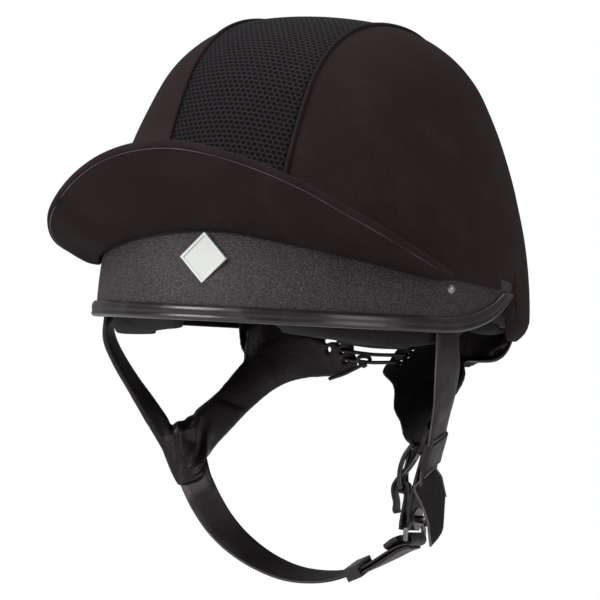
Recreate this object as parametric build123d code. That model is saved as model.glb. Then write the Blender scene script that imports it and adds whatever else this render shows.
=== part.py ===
from build123d import *
import math
import os

# Jockey skull cap with a fabric cover, a peak and a leather harness, in millimetres.
# +Z is up, the wearer faces -Y and the wearer's left is +X.
# The origin is on the head's axis, in the plane of the lower edge of the rim trim.

overrun = 12.0

# rigid shell, drawn round and then stretched front to back
shell_half_width = 107.5
shell_half_length = 130.5
shell_wall = 3.0
side_radius = 275.0
side_turn = 26.0
shoulder_radius = 68.0
shoulder_turn = 80.0
shell_depth = 20.0

# side outline of the shell: a level rim, an arch over the ear and a lower nape
arch_start_y = -54.0
arch_radius = 126.0
arch_tip_y = 17.0
ear_back_y = 21.5
nape_drop = 4.5
nape_corner_radius = 8.0

# rubber trim on the rim
trim_height = 8.0
trim_proud = 2.0
trim_web = 1.6
trim_leg = 1.2
trim_clearance = 0.2

# energy absorbing liner
liner_gap = 0.5
liner_wall = 17.5
liner_rise = 8.8
vent_width = 12.0
vent_length = 44.0
vent_pitch = 25.0
vent_place_y = 36.0

# comfort pads
pad_wall = 7.0
pad_gap = 0.5
pad_top = 34.0
pad_joint = 0.8
front_pad_half_width = 27.0
front_pad_z = 1.0
side_pad_front_y = -111.0
side_pad_low_y = -70.0
side_pad_low_z = -8.0
side_pad_back_y = -18.0
side_pad_back_z = -1.0
rear_pad_y = 24.0
rear_pad_z = -3.0
crown_pad_radius = 40.0
crown_pad_wall = 5.0

# fabric cover
cover_gap = 0.4
cover_wall = 1.3
mesh_half_width = 34.0
seam_width = 2.6
seam_proud = 1.0
seam_lift = 5.5
panel_gap = 0.2
cover_nape_drop = 6.5
root_front_z = 47.4
root_fall = 19.4
root_end_x = 99.0
root_end_y = -50.0
root_end_z = 28.0
hem_tip_z = 22.0
hem_lap = 1.2

# peak
peak_half_width = 108.0
peak_reach = 176.0
peak_rise = 89.5
peak_wall = 3.4
peak_gap = 0.4
board_wall = 1.6
board_inset_share = 0.1
board_clearance = 0.15
peak_root_shares = [0.0, 0.222, 0.424, 0.606, 0.758, 0.879, 0.955, 0.985, 1.0]
peak_edge_shares = [
    (0.0, 1.0, 1.0),
    (0.213, 0.989, 0.972),
    (0.407, 0.946, 0.905),
    (0.602, 0.866, 0.799),
    (0.769, 0.778, 0.670),
    (0.898, 0.670, 0.553),
    (0.975, 0.540, 0.447),
    (0.985, 0.398, 0.380),
    (0.953, 0.286, 0.350),
]

# badge on the front of the shell
badge_side = 18.4
badge_wall = 1.8
badge_border = 1.3
badge_recess = 0.5
badge_z = 32.0
badge_pin_radius = 1.2
badge_pin_spacing = 9.0

# rivets that hold the harness
front_rivet_y = -44.0
front_rivet_z = 22.7
rear_rivet_y = 83.0
rear_rivet_z = 14.0
shank_radius = 1.5
head_radius = 2.7
head_height = 1.7
washer_radius = 3.4
washer_wall = 0.7
rivet_clearance = 0.1
washer_gap = 0.9

# leather harness
strap_width = 20.0
strap_wall = 1.8
strap_gap = 0.6
tab_top = 32.0
front_tab_y = -41.2
nape_wall = 3.4
hanger_wall = 2.2

# free stretch of each front strap: centre of the strap, and the direction of its width
front_left_path = [
    ((97.0, -38.5, -9.0), (0.25, 0.97, 0.03)),
    ((95.2, -33.5, -20.0), (0.28, 0.95, 0.1)),
    ((90.0, -24.0, -34.0), (0.2, 0.94, 0.25)),
    ((84.5, -16.5, -46.0), (0.12, 0.92, 0.36)),
    ((80.0, -10.5, -56.0), (0.1, 0.92, 0.38)),
    ((75.4, -5.5, -65.0), (0.1, 0.93, 0.35)),
    ((72.2, -1.8, -73.0), (0.08, 0.97, 0.2)),
    ((71.7, -0.5, -81.0), (0.0, 1.0, 0.0)),
]
front_right_path = [
    ((-97.0, -38.5, -9.0), (-0.2, 0.97, 0.05)),
    ((-95.2, -33.5, -20.0), (0.0, 0.98, 0.15)),
    ((-90.0, -24.0, -34.0), (0.2, 0.9, 0.36)),
    ((-84.5, -16.5, -46.0), (0.36, 0.78, 0.48)),
    ((-79.5, -10.0, -56.5), (0.46, 0.68, 0.55)),
    ((-75.0, -5.5, -66.0), (0.5, 0.62, 0.58)),
]

# nape panels: pairs of upper and lower edge points
nape_right_edges = [
    ((-74.0, -5.0, -58.0), (-67.0, 6.0, -80.0)),
    ((-72.5, 14.0, -48.5), (-67.0, 27.0, -66.0)),
    ((-71.5, 28.0, -40.5), (-61.0, 50.0, -47.5)),
    ((-69.0, 42.0, -31.0), (-54.0, 63.0, -36.0)),
    ((-66.0, 55.0, -20.0), (-46.0, 69.0, -30.0)),
    ((-57.0, 65.0, -10.0), (-36.0, 71.0, -27.0)),
    ((-38.0, 70.0, -5.0), (-22.0, 70.5, -25.5)),
    ((-10.0, 68.0, -4.0), (-5.0, 67.0, -18.5)),
]
nape_left_edges = [
    ((78.5, -16.0, -50.0), (73.1, -10.5, -62.0)),
    ((77.2, -6.0, -46.5), (71.8, -1.5, -63.0)),
    ((73.5, 8.0, -41.5), (68.5, 11.5, -61.0)),
    ((70.5, 20.0, -36.0), (46.0, 27.0, -58.0)),
    ((69.5, 36.0, -27.5), (39.0, 34.0, -51.0)),
    ((65.0, 52.0, -18.0), (32.0, 42.0, -45.0)),
    ((54.0, 63.0, -9.5), (25.0, 52.0, -38.0)),
    ((38.0, 68.5, -5.0), (18.5, 62.0, -28.0)),
    ((22.0, 68.0, -4.0), (12.0, 66.0, -18.5)),
]
# hangers that carry the nape panels, front and rear edge, below the shell
hanger_knee = ((79.0, 74.0, -7.0), (67.5, 87.5, -7.0))
hanger_left_edges = [
    ((70.5, 63.5, -13.5), (56.0, 74.5, -13.5)),
    ((62.0, 52.5, -20.0), (45.0, 59.5, -20.0)),
]
hanger_right_edges = [
    ((-73.0, 65.5, -13.5), (-58.0, 78.5, -13.5)),
    ((-66.0, 56.0, -20.0), (-48.0, 67.0, -20.0)),
]
hanger_half_width = 9.0

# laced closing of the nape panels, places in X and Z
lace_radius = 1.0
lace_hole_radius = 1.5
lace_out_y = 72.6
lace_rungs = [
    ((-16.0, 64.5, -7.0), (27.0, 62.2, -8.5)),
    ((-14.0, 64.3, -11.5), (25.0, 61.8, -12.5)),
    ((-12.0, 64.1, -16.0), (21.0, 60.8, -16.5)),
]
spare_holes = [(-24.5, -6.8), (-22.5, -11.2)]
knot_centre = (1.0, 62.9, -16.2)
knot_radius = 2.6
knot_half = 3.2
lace_tail = [(-5.0, 63.5, -21.0), (-11.0, 64.0, -23.8), (-20.0, 65.0, -26.8)]

# folded leather joint on the wearer's right: centre, half width and half thickness
joint_sections = [
    ((-72.2, -3.5, -60.0), 13.5, 3.6),
    ((-70.6, -3.0, -68.0), 11.6, 4.2),
    ((-67.6, -2.0, -77.0), 8.6, 3.9),
    ((-65.2, -1.2, -84.0), 5.2, 2.8),
    ((-64.6, -1.0, -88.0), 2.2, 1.6),
]
joint_face = (0.9085, 0.418, 0.0)

# chin strap: centre and direction of its width
chin_width = 17.0
chin_wall = 2.0
chin_path = [
    ((-62.5, -0.6, -84.0), (0.72, 0.42, 0.5)),
    ((-59.5, -0.2, -89.5), (0.7, 0.45, 0.5)),
    ((-55.5, 0.3, -96.0), (0.66, 0.52, 0.48)),
    ((-48.0, 0.8, -105.5), (0.58, 0.64, 0.48)),
    ((-37.0, 1.0, -115.0), (0.46, 0.74, 0.46)),
    ((-22.0, 1.0, -123.5), (0.3, 0.82, 0.44)),
    ((-5.0, 1.0, -129.0), (0.14, 0.88, 0.42)),
    ((12.0, 1.0, -130.0), (0.0, 0.92, 0.36)),
    ((27.0, 1.0, -127.5), (-0.08, 0.96, 0.26)),
    ((41.0, 0.8, -121.5), (-0.08, 0.98, 0.14)),
    ((53.0, 0.4, -114.5), (-0.04, 1.0, 0.05)),
    ((62.8, 0.0, -108.2), (0.0, 1.0, 0.0)),
]
chin_root_stations = 3
root_joint = 0.4

# stud and link on the wearer's left, where the chin strap hooks on
stud_centre = (66.0, 0.0, -97.0)
stud_axis = (0.9982, 0.0, -0.0597)
stud_radius = 2.0
stud_inner_length = 6.4
stud_outer_length = 5.5
stud_head_radius = 3.4
stud_head_wall = 1.2
stud_clearance = 0.06
link_wall = 2.2
link_eye_radius = 4.4
link_half_width = 12.0
link_knee = 5.0
link_bar_radius = 1.4
link_drop = 10.5
link_rise = 4.5
loop_wall = 1.8
loop_half_width = 8.3
loop_clearance = 0.06

# buckle on the wearer's left: middle of the heel bar, the bar's direction and the lean of the frame
heel_centre = (58.4, -1.0, -81.0)
heel_direction = (-0.29, 0.957, 0.0)
frame_lean = (0.22, 0.067, 0.973)
buckle_half_width = 11.5
buckle_height = 23.0
buckle_wire_radius = 1.3
buckle_bow = 3.0
prong_radius = 0.95
prong_eye_radius = 2.5
prong_eye_half = 1.6
prong_clearance = 0.06
prong_seat = 0.2

# chape: folded round the heel bar and carried down to the stud
chape_width = 17.0
chape_wall = 1.8
chape_path = [
    ((60.9, -0.2, -88.0), (-0.2, 0.98, 0.0)),
    ((61.2, 0.0, -93.5), (-0.05, 1.0, 0.0)),
    ((60.6, 0.0, -103.0), (0.0, 1.0, 0.0)),
]
leather_clearance = 0.3

# holed strap from the nape panel through the buckle: places above the frame, then
# heights and offsets in the frame's own plane, then the hanging tail
holed_width = 16.0
holed_wall = 1.8
holed_top = [(71.2, -0.5, -46.5), (70.4, 0.0, -50.0), (68.8, 0.6, -54.5)]
holed_in_frame = [(23.0, -2.7), (14.0, -0.6), (4.5, 3.3), (0.0, 4.7)]
holed_tail = [(54.1, -2.0, -85.0), (55.0, -1.6, -90.0), (55.7, -1.3, -94.5)]
slot_low = 0.8
slot_length = 14.8
slot_width = 4.2

# guard pad between the buckle and the outside
guard_centre = (75.1, 2.0, -89.0)
guard_width = 24.0
guard_half_height = 15.5
guard_point = 6.5
guard_wall = 3.0

# slider on the chin strap
slider_station = 8
slider_wall = 1.4
slider_length = 8.0
slider_gap = 0.5
slider_room = 1.2

os.makedirs("parts", exist_ok=True)


def solid_of(shape):
    """Largest solid of a result."""
    return max(shape.solids(), key=lambda s: s.volume)


def save(name, *solids):
    """Writes the solids of one piece under its own name."""
    shape = solids[0] if len(solids) == 1 else Compound(children=list(solids))
    export_step(shape, "parts/" + name + ".step")


def flip(point):
    """The same place on the other side of the cap."""
    return (-point[0], point[1], point[2])


# domes: three tangent arcs turned about the head's axis

stretch = shell_half_length / shell_half_width
side_angle = math.radians(side_turn)
shoulder_angle = math.radians(shoulder_turn)
side_centre = (shell_half_width - side_radius, 0.0)
shoulder_centre = (
    side_centre[0] + (side_radius - shoulder_radius) * math.cos(side_angle),
    (side_radius - shoulder_radius) * math.sin(side_angle),
)
crown_radius = shoulder_radius + shoulder_centre[0] / math.cos(shoulder_angle)
crown_centre = (0.0, shoulder_centre[1] - shoulder_centre[0] * math.tan(shoulder_angle))
shell_height = crown_centre[1] + crown_radius


def polar(centre, radius, angle):
    return (centre[0] + radius * math.cos(angle), centre[1] + radius * math.sin(angle))


def arc(centre, radius, start, end):
    """Arc from one angle to another about a centre."""
    middle = polar(centre, radius, (start + end) / 2)
    return ThreePointArc(polar(centre, radius, start), middle, polar(centre, radius, end))


def dome(outset, depth):
    """Round dome whose face lies `outset` outside the shell's, down to `depth` below the rim."""
    low = -math.asin(depth / (side_radius + outset))
    top = math.pi / 2
    foot = polar(side_centre, side_radius + outset, low)
    peak = polar(crown_centre, crown_radius + outset, top)
    edges = [
        arc(side_centre, side_radius + outset, low, side_angle),
        arc(shoulder_centre, shoulder_radius + outset, side_angle, shoulder_angle),
        arc(crown_centre, crown_radius + outset, shoulder_angle, top),
        Line(peak, (0.0, foot[1])),
        Line((0.0, foot[1]), foot),
    ]
    return revolve(Plane.XZ * Face(Wire([e for part in edges for e in part.edges()])), Axis.Z)


def layer(outer, inner, depth=shell_depth):
    """Curved wall between two domes."""
    return dome(outer, depth) - dome(inner, depth + overrun)


def stretched(shape):
    """The round piece at the cap's real length."""
    return scale(solid_of(shape), by=(1.0, stretch, 1.0))


def dome_radius(z, outset):
    """Half width of a dome at height z."""
    shoulder_z = shoulder_centre[1] + (shoulder_radius + outset) * math.sin(side_angle)
    crown_z = shoulder_centre[1] + (shoulder_radius + outset) * math.sin(shoulder_angle)
    if z < shoulder_z:
        return side_centre[0] + math.sqrt((side_radius + outset) ** 2 - z ** 2)
    if z < crown_z:
        return shoulder_centre[0] + math.sqrt((shoulder_radius + outset) ** 2 - (z - shoulder_centre[1]) ** 2)
    return math.sqrt(max((crown_radius + outset) ** 2 - (z - crown_centre[1]) ** 2, 0.0))


def on_dome_side(y, z, outset):
    """Point on the wearer's left at the given y and z."""
    radius = dome_radius(z, outset)
    return (math.sqrt(max(radius ** 2 - (y / stretch) ** 2, 0.0)), y, z)


def on_dome_front(x, z, outset):
    """Point on the front of a dome at the given x and z."""
    radius = dome_radius(z, outset)
    return (x, -stretch * math.sqrt(max(radius ** 2 - x ** 2, 0.0)), z)


# side regions, drawn in the squeezed side view of the round domes

reach = shell_half_width + overrun
crown_top = shell_height + overrun


def squeeze(points):
    return [(y / stretch, z) for y, z in points]


def prism(edges):
    """Closed side outline carried across the whole cap."""
    return extrude(Plane.YZ * Face(Wire([e for part in edges for e in part.edges()])), reach, both=True)


def above(lower_edges, start, end):
    """Prism above a chain of squeezed lower edges."""
    frame = Polyline(end, (reach, end[1]), (reach, crown_top), (-reach, crown_top), (-reach, start[1]), start)
    return prism([*lower_edges, frame])


def arch_z(y, lift):
    """Height of the ear arch raised by `lift`."""
    return arch_radius - math.sqrt((arch_radius - lift) ** 2 - (y - arch_start_y) ** 2)


def arch(lift, tip_y):
    """Squeezed arc over the ear, and its ends."""
    ys = [arch_start_y, (arch_start_y + tip_y) / 2, tip_y]
    points = squeeze([(y, arch_z(y, lift)) for y in ys])
    return ThreePointArc(*points), points[0], points[2]


def nape_corner(nape_z):
    """Squeezed rounded lower corner behind the ear."""
    swing = nape_corner_radius * (1.0 - math.sqrt(0.5))
    return squeeze([
        (ear_back_y, nape_z + nape_corner_radius),
        (ear_back_y + swing, nape_z + swing),
        (ear_back_y + nape_corner_radius, nape_z),
    ])


def rim_region(lift, nape_z):
    """Everything above the rim line raised by `lift`, with the nape's edge at `nape_z`."""
    curve, start, tip = arch(lift, ear_back_y)
    corner = nape_corner(nape_z)
    return above([curve, Line(tip, corner[0]), ThreePointArc(*corner)], start, corner[2])


def front_region(lift, tip_y):
    """Everything above the raised rim line as far back as the ear's tip."""
    curve, start, tip = arch(lift, tip_y)
    frame = Polyline(tip, (tip[0], crown_top), (-reach, crown_top), (-reach, start[1]), start)
    return prism([curve, frame])


def cover_region(lift):
    """Everything that the cover spans, above the peak's root and the hem."""
    places = [share for share in peak_root_shares if share < 1.0]
    points = []
    for share in places:
        z = root_front_z - root_fall * share ** 1.6
        points.append((on_dome_front(root_end_x * share, z, 0.0)[1] / stretch, z + lift))
    tip = (ear_back_y / stretch, hem_tip_z + lift)
    corner = nape_corner(-cover_nape_drop + lift)
    edges = [Spline(*points), Line(points[-1], tip), Line(tip, corner[0]), ThreePointArc(*corner)]
    return above(edges, points[0], corner[2])


def slab(x_low, x_high, y_low, y_high, z_low, z_high):
    """Block between real coordinates, squeezed like the round domes."""
    low = Vector(x_low, y_low / stretch, z_low)
    high = Vector(x_high, y_high / stretch, z_high)
    size = high - low
    centre = (low + high) / 2
    return Pos(centre.X, centre.Y, centre.Z) * Box(size.X, size.Y, size.Z)


# thin straps and panels, lofted through flat sections

def unit(vector):
    return vector.normalized()


def ribbon(edges, wall):
    """Strip of even thickness through pairs of edge points."""
    lows = [Vector(*pair[0]) for pair in edges]
    highs = [Vector(*pair[1]) for pair in edges]
    centres = [(a + b) / 2 for a, b in zip(lows, highs)]
    wires = []
    for i, (a, b) in enumerate(zip(lows, highs)):
        run = centres[min(i + 1, len(centres) - 1)] - centres[max(i - 1, 0)]
        side = unit((b - a).cross(run)) * (wall / 2)
        wires.append(Wire.make_polygon([a + side, b + side, b - side, a - side], close=True))
    return Solid.make_loft(wires)


def edges_of(path, width):
    """Edge points of a strap given by centres and width directions."""
    pairs = []
    for i, (centre, direction) in enumerate(path):
        ahead = Vector(*path[min(i + 1, len(path) - 1)][0]) - Vector(*path[max(i - 1, 0)][0])
        along = unit(ahead)
        across = Vector(*direction)
        across = unit(across - along * across.dot(along)) * (width / 2)
        middle = Vector(*centre)
        pairs.append((tuple(middle - across), tuple(middle + across)))
    return pairs


def rod(start, end, radius):
    """Round bar between two points."""
    run = Vector(*end) - Vector(*start)
    return extrude(Plane(origin=Vector(*start), z_dir=run) * Circle(radius), run.length)


def join(*solids):
    whole = solids[0]
    for solid in solids[1:]:
        whole = whole + solid
    return solid_of(whole)


# rivets and their holes

grip = shell_wall + trim_leg + strap_gap + strap_wall


def wall_frame(place):
    """Plane on the shell's face with its normal pointing out."""
    radius = dome_radius(place[2], 0.0)
    rise = place[2] / math.sqrt(side_radius ** 2 - place[2] ** 2)
    normal = Vector(place[0] / radius, place[1] / radius / stretch ** 2, rise)
    return Plane(origin=Vector(*place), z_dir=normal)


front_rivet = on_dome_side(front_rivet_y, front_rivet_z, 0.0)
rear_rivet = on_dome_side(rear_rivet_y, rear_rivet_z, 0.0)


def rivet(place, domed):
    """Shank with its outer head; the rear heads lie flush in the shell."""
    frame = wall_frame(place)
    shank_length = grip + washer_gap + washer_wall
    shank = extrude(frame.offset(-shank_length) * Circle(shank_radius), shank_length)
    if not domed:
        return shank + extrude(frame.offset(-head_height) * Circle(head_radius), head_height)
    ball_radius = (head_radius ** 2 + head_height ** 2) / (2 * head_height)
    ball = frame.offset(head_height - ball_radius) * Sphere(ball_radius)
    return shank + (ball & extrude(frame * Circle(head_radius), head_height))


def washer(place):
    frame = wall_frame(place).offset(-grip - washer_gap - washer_wall)
    ring = extrude(frame * Circle(washer_radius), washer_wall)
    return ring - extrude(frame * Circle(shank_radius + rivet_clearance), washer_wall)


def rivet_bore(place, radius, low, high):
    return extrude(wall_frame(place).offset(low) * Circle(radius), high - low)


# shell, trim and liner

vent_tool = None
for row in (-1, 1):
    for column in (-1, 0, 1):
        outline = Pos(column * vent_pitch, row * vent_place_y / stretch, shell_height / 2) * SlotOverall(
            vent_length / stretch, vent_width, rotation=90.0)
        vent = extrude(outline, crown_top)
        vent_tool = vent if vent_tool is None else vent_tool + vent

shell = stretched((layer(0.0, -shell_wall) & rim_region(trim_web + trim_clearance, -nape_drop)) - vent_tool)
for place in (front_rivet, flip(front_rivet), rear_rivet, flip(rear_rivet)):
    shell = shell - rivet_bore(place, shank_radius + rivet_clearance, -overrun, overrun)
for place in (rear_rivet, flip(rear_rivet)):
    shell = shell - rivet_bore(place, head_radius + rivet_clearance, -head_height - rivet_clearance, overrun)
badge_place = on_dome_front(0.0, badge_z, 0.0)
badge_frame = Plane(origin=Vector(*badge_place), x_dir=(1.0, 0.0, 0.0), z_dir=(0.0, -1.0, 0.0))
pin_frame = badge_frame.offset(-shell_wall)
pin_places = [pin_frame * Pos(side * badge_pin_spacing / 2, 0.0) for side in (-1, 1)]
for place in pin_places:
    shell = shell - extrude(place * Circle(badge_pin_radius + rivet_clearance), 2 * shell_wall, both=True)
save("outer_shell", solid_of(shell))

trim_band = front_region(0.0, arch_tip_y) - front_region(trim_height, arch_tip_y + overrun)
groove = layer(trim_clearance, -shell_wall - trim_clearance) & front_region(trim_web, arch_tip_y + overrun)
trim = (layer(trim_proud, -shell_wall - trim_leg) & trim_band) - groove
trim = trim - (layer(trim_proud + trim_web, 0.0) & cover_region(-hem_lap - panel_gap))
save("rim_trim", stretched(trim))

liner_face = -shell_wall - liner_gap
liner_inside = liner_face - liner_wall
pocket_floor = -grip - washer_wall - washer_gap - strap_gap
half_pocket = strap_width / 2 + strap_gap
liner = layer(liner_face, liner_inside) & rim_region(liner_rise, liner_rise - nape_drop)
pocket_wall = layer(0.0, pocket_floor)
pocket_top = tab_top + 3 * strap_gap
for low_y, high_y in (
    (front_tab_y - half_pocket, front_left_path[0][0][1] + half_pocket),
    (rear_rivet_y - half_pocket, rear_rivet_y + half_pocket),
):
    liner = liner - (pocket_wall & slab(-reach, reach, low_y, high_y, -shell_depth, pocket_top))
save("impact_liner", stretched(liner - vent_tool))

# comfort pads under and inside the liner

pad_face = pocket_floor + strap_gap / 2
pad_inside = liner_inside - pad_gap - pad_wall
liner_room = layer(0.0, liner_inside - pad_gap) & rim_region(liner_rise - pad_gap, liner_rise - nape_drop - pad_gap)
pad_ring = layer(pad_face, pad_inside) - liner_room
front_block = slab(-front_pad_half_width, front_pad_half_width, -2 * reach, 0.0, front_pad_z, pad_top)
save("headband_front", stretched(pad_ring & front_block))

side_lower = squeeze([
    (side_pad_front_y, front_pad_z),
    (side_pad_low_y, side_pad_low_z),
    (side_pad_back_y, side_pad_back_z),
])
side_end = squeeze([(rear_pad_y - pad_joint, arch_z(rear_pad_y, 0.0)), (rear_pad_y - pad_joint, pad_top)])
side_outline = prism([
    Line((-reach, front_pad_z), side_lower[0]),
    ThreePointArc(*side_lower),
    Polyline(side_lower[2], side_end[0], side_end[1], (-reach, pad_top), (-reach, front_pad_z)),
])
side_block = slab(front_pad_half_width + pad_joint, reach, -2 * reach, 2 * reach, -shell_depth, pad_top)
left_pad = stretched(pad_ring & side_outline & side_block)
save("headband_left", left_pad)
save("headband_right", mirror(left_pad, about=Plane.YZ))

rear_block = slab(-reach, reach, rear_pad_y, 2 * reach, rear_pad_z, pad_top)
save("headband_rear", stretched(pad_ring & rear_block))

crown_ring = layer(liner_inside - pad_gap, liner_inside - pad_gap - crown_pad_wall)
crown_column = extrude(Pos(0.0, 0.0, shell_height / 2) * Circle(crown_pad_radius), crown_top)
save("crown_pad", stretched(crown_ring & crown_column))

# fabric cover: a mesh panel between two side panels, with piped seams

cover_outer = cover_gap + cover_wall
cover_body = layer(cover_outer, cover_gap) & cover_region(-hem_lap)
seam_inner = mesh_half_width
seam_outer = mesh_half_width + seam_width
mesh_block = slab(-seam_inner + panel_gap, seam_inner - panel_gap, -2 * reach, 2 * reach, -shell_depth, crown_top)
save("mesh_panel", stretched(cover_body & mesh_block))
left_block = slab(seam_outer + panel_gap, reach, -2 * reach, 2 * reach, -shell_depth, crown_top)
left_cover = stretched(cover_body & left_block)
save("crown_cover_left", left_cover)
save("crown_cover_right", mirror(left_cover, about=Plane.YZ))
piping_body = layer(cover_outer + seam_proud, cover_gap) & cover_region(seam_lift)
left_piping = stretched(piping_body & slab(seam_inner, seam_outer, -2 * reach, 2 * reach, -shell_depth, crown_top))
save("seam_piping", left_piping, mirror(left_piping, about=Plane.YZ))

# peak: a stiff board in a fabric envelope, its root against the cover

def peak_edges(inset_share):
    """Root and outer edge points across the peak, from right to left."""
    pairs = []
    for share, (x_share, y_share, z_share) in zip(peak_root_shares, peak_edge_shares):
        z = root_front_z - root_fall * share ** 1.6
        root = Vector(*on_dome_front(root_end_x * share, z, 0.0))
        edge = Vector(peak_half_width * x_share, -peak_reach * y_share, peak_rise * z_share)
        inset_edge = edge + (root - edge) * inset_share
        pairs.append((tuple(root), tuple(inset_edge)))
    right = [(flip(a), flip(b)) for a, b in pairs[:0:-1]]
    return right + pairs


cover_solid = stretched(dome(cover_outer + peak_gap, shell_depth))
board_solid = stretched(dome(cover_outer + peak_gap + board_wall, shell_depth))
board_edges = peak_edges(board_inset_share)[1:-1]
peak = ribbon(peak_edges(0.0), peak_wall) - cover_solid
peak = solid_of(peak) - ribbon(board_edges, board_wall + 2 * board_clearance)
board = ribbon(board_edges, board_wall) - board_solid
save("peak_cover", solid_of(peak))
save("peak_board", solid_of(board))

# badge

diamond = Rot(0.0, 0.0, 45.0) * Box(badge_side, badge_side, badge_wall)
field_side = badge_side - 2 * badge_border
field = Rot(0.0, 0.0, 45.0) * Box(field_side, field_side, badge_recess)
badge_sink = badge_wall / 2
badge = diamond - Pos(0.0, 0.0, badge_wall / 2 - badge_recess / 2) * field
badge = badge_frame.offset(badge_wall / 2 + rivet_clearance) * badge
shell_face = stretched(dome(rivet_clearance, shell_depth))
badge = solid_of(badge - shell_face)
pin_length = badge_wall / 2 + shell_wall
pins = []
for place in pin_places:
    pin = extrude(place * Circle(badge_pin_radius), pin_length)
    pins.append(solid_of(pin - badge))
save("badge_plate", badge)
save("badge_pins", *pins)

# rivets

save("front_rivets", *[solid_of(rivet(place, True)) for place in (front_rivet, flip(front_rivet))])
save("rear_rivets", *[solid_of(rivet(place, False)) for place in (rear_rivet, flip(rear_rivet))])
all_rivets = (front_rivet, flip(front_rivet), rear_rivet, flip(rear_rivet))
save("rivet_washers", *[solid_of(washer(place)) for place in all_rivets])

# harness: front straps

strap_outset = -grip + strap_wall / 2


def tab_stations(y, side):
    """Strap stations between the shell and the liner."""
    stations = []
    for z in (tab_top, front_rivet_z, tab_top / 3, 0.0):
        place = on_dome_side(y, z, strap_outset)
        tangent = Vector(-y / stretch ** 2, place[0], 0.0).normalized()
        stations.append(((side * place[0], y, z), (side * tangent.X, tangent.Y, 0.0)))
    return stations


def front_strap(path, side):
    stations = tab_stations(front_tab_y, side) + path
    return ribbon(edges_of(stations, strap_width), strap_wall)


joint_wires = []
for centre, half_width, half_wall in joint_sections:
    frame = Plane(origin=Vector(*centre), x_dir=joint_face, z_dir=(0.0, 0.0, -1.0))
    joint_wires.append((frame * Ellipse(half_width, half_wall)).wire())
joint_cover = Solid.make_loft(joint_wires)
save("joint_cover_right", joint_cover)

left_strap = front_strap(front_left_path, 1.0)
right_strap = front_strap(front_right_path, -1.0)
bore = shank_radius + rivet_clearance
left_strap = solid_of(left_strap - rivet_bore(front_rivet, bore, -overrun, overrun))
right_strap = solid_of(right_strap - rivet_bore(flip(front_rivet), bore, -overrun, overrun) - joint_cover)
save("front_strap_left", left_strap)
save("front_strap_right", right_strap)

# harness: nape panels with their hangers, laced at the back


def hanger(side, lower_edges):
    """Strap from the shell down to the nape panel."""
    pairs = []
    for z in (tab_top, tab_top / 2, trim_proud):
        place = on_dome_side(rear_rivet_y, z, strap_outset)
        tangent = Vector(-rear_rivet_y / stretch ** 2, place[0], 0.0).normalized() * hanger_half_width
        middle = Vector(*place)
        pairs.append((tuple(middle - tangent), tuple(middle + tangent)))
    pairs.append(hanger_knee)
    mirrored = [((side * a[0], a[1], a[2]), (side * b[0], b[1], b[2])) for a, b in pairs]
    return ribbon(mirrored + lower_edges, strap_wall)


def eyelet(x, z):
    """Lace hole through the nape panels."""
    return rod((x, lace_out_y - overrun, z), (x, lace_out_y, z), lace_hole_radius)


holes_right = [(rung[0][0], rung[0][2]) for rung in lace_rungs] + spare_holes
holes_left = [(rung[1][0], rung[1][2]) for rung in lace_rungs]
for name, edges, lower_edges, side, holes, rear in (
    ("nape_panel_right", nape_right_edges, hanger_right_edges, -1.0, holes_right, flip(rear_rivet)),
    ("nape_panel_left", nape_left_edges, hanger_left_edges, 1.0, holes_left, rear_rivet),
):
    panel = join(ribbon(edges, nape_wall), hanger(side, lower_edges))
    panel = panel - rivet_bore(rear, bore, -overrun, overrun)
    for x, z in holes:
        panel = panel - eyelet(x, z)
    if side < 0:
        panel = solid_of(panel - joint_cover) - right_strap
    else:
        nape_left = solid_of(panel)
    save(name, solid_of(panel))


def cord(points, radius):
    """Round cord through a chain of points."""
    path = Polyline(*points)
    return sweep(Plane(origin=path @ 0, z_dir=path % 0) * Circle(radius), path=path, transition=Transition.RIGHT)


lace_path = []
for row, (right, left) in enumerate(lace_rungs):
    right_out = (right[0], lace_out_y, right[2])
    left_out = (left[0], lace_out_y, left[2])
    rung = [right_out, right, left, left_out]
    lace_path += rung if row % 2 == 0 else rung[::-1]
knot = Pos(*knot_centre) * Cylinder(knot_radius, 2 * knot_half)
lace = cord(lace_path, lace_radius) + knot + cord([knot_centre] + lace_tail, lace_radius)
save("nape_lace", solid_of(lace))

# chin strap, in a sewn root and a swinging length with a loop round the link's bar

chin_edges = edges_of(chin_path, chin_width)
root_edges = chin_edges[:chin_root_stations]
chin_root = solid_of(ribbon(root_edges, chin_wall) - joint_cover)
save("chin_strap_root", chin_root)

stud_frame = Plane(origin=Vector(*stud_centre), x_dir=(0.0, 1.0, 0.0), z_dir=stud_axis)
down = (stud_frame * Pos(0.0, -link_drop, 0.0)).position
bar_start = (down.X, -link_half_width, down.Z)
bar_end = (down.X, link_half_width, down.Z)
chin_body = ribbon(chin_edges[chin_root_stations - 1:], chin_wall)
first_centre = Vector(*chin_path[chin_root_stations - 1][0])
next_centre = Vector(*chin_path[chin_root_stations][0])
run = next_centre - first_centre
root_end = Plane(origin=first_centre - run, z_dir=run) * Circle(2 * chin_width)
chin_body = chin_body - extrude(root_end, run.length + root_joint)
loop = rod((down.X, -loop_half_width, down.Z), (down.X, loop_half_width, down.Z),
           link_bar_radius + loop_clearance + loop_wall)
chin_body = join(solid_of(chin_body), loop)
chin_body = chin_body - rod(bar_start, bar_end, link_bar_radius + loop_clearance)
save("chin_strap", solid_of(chin_body))

# link: an eye on the stud and a bar in the strap's loop

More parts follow.
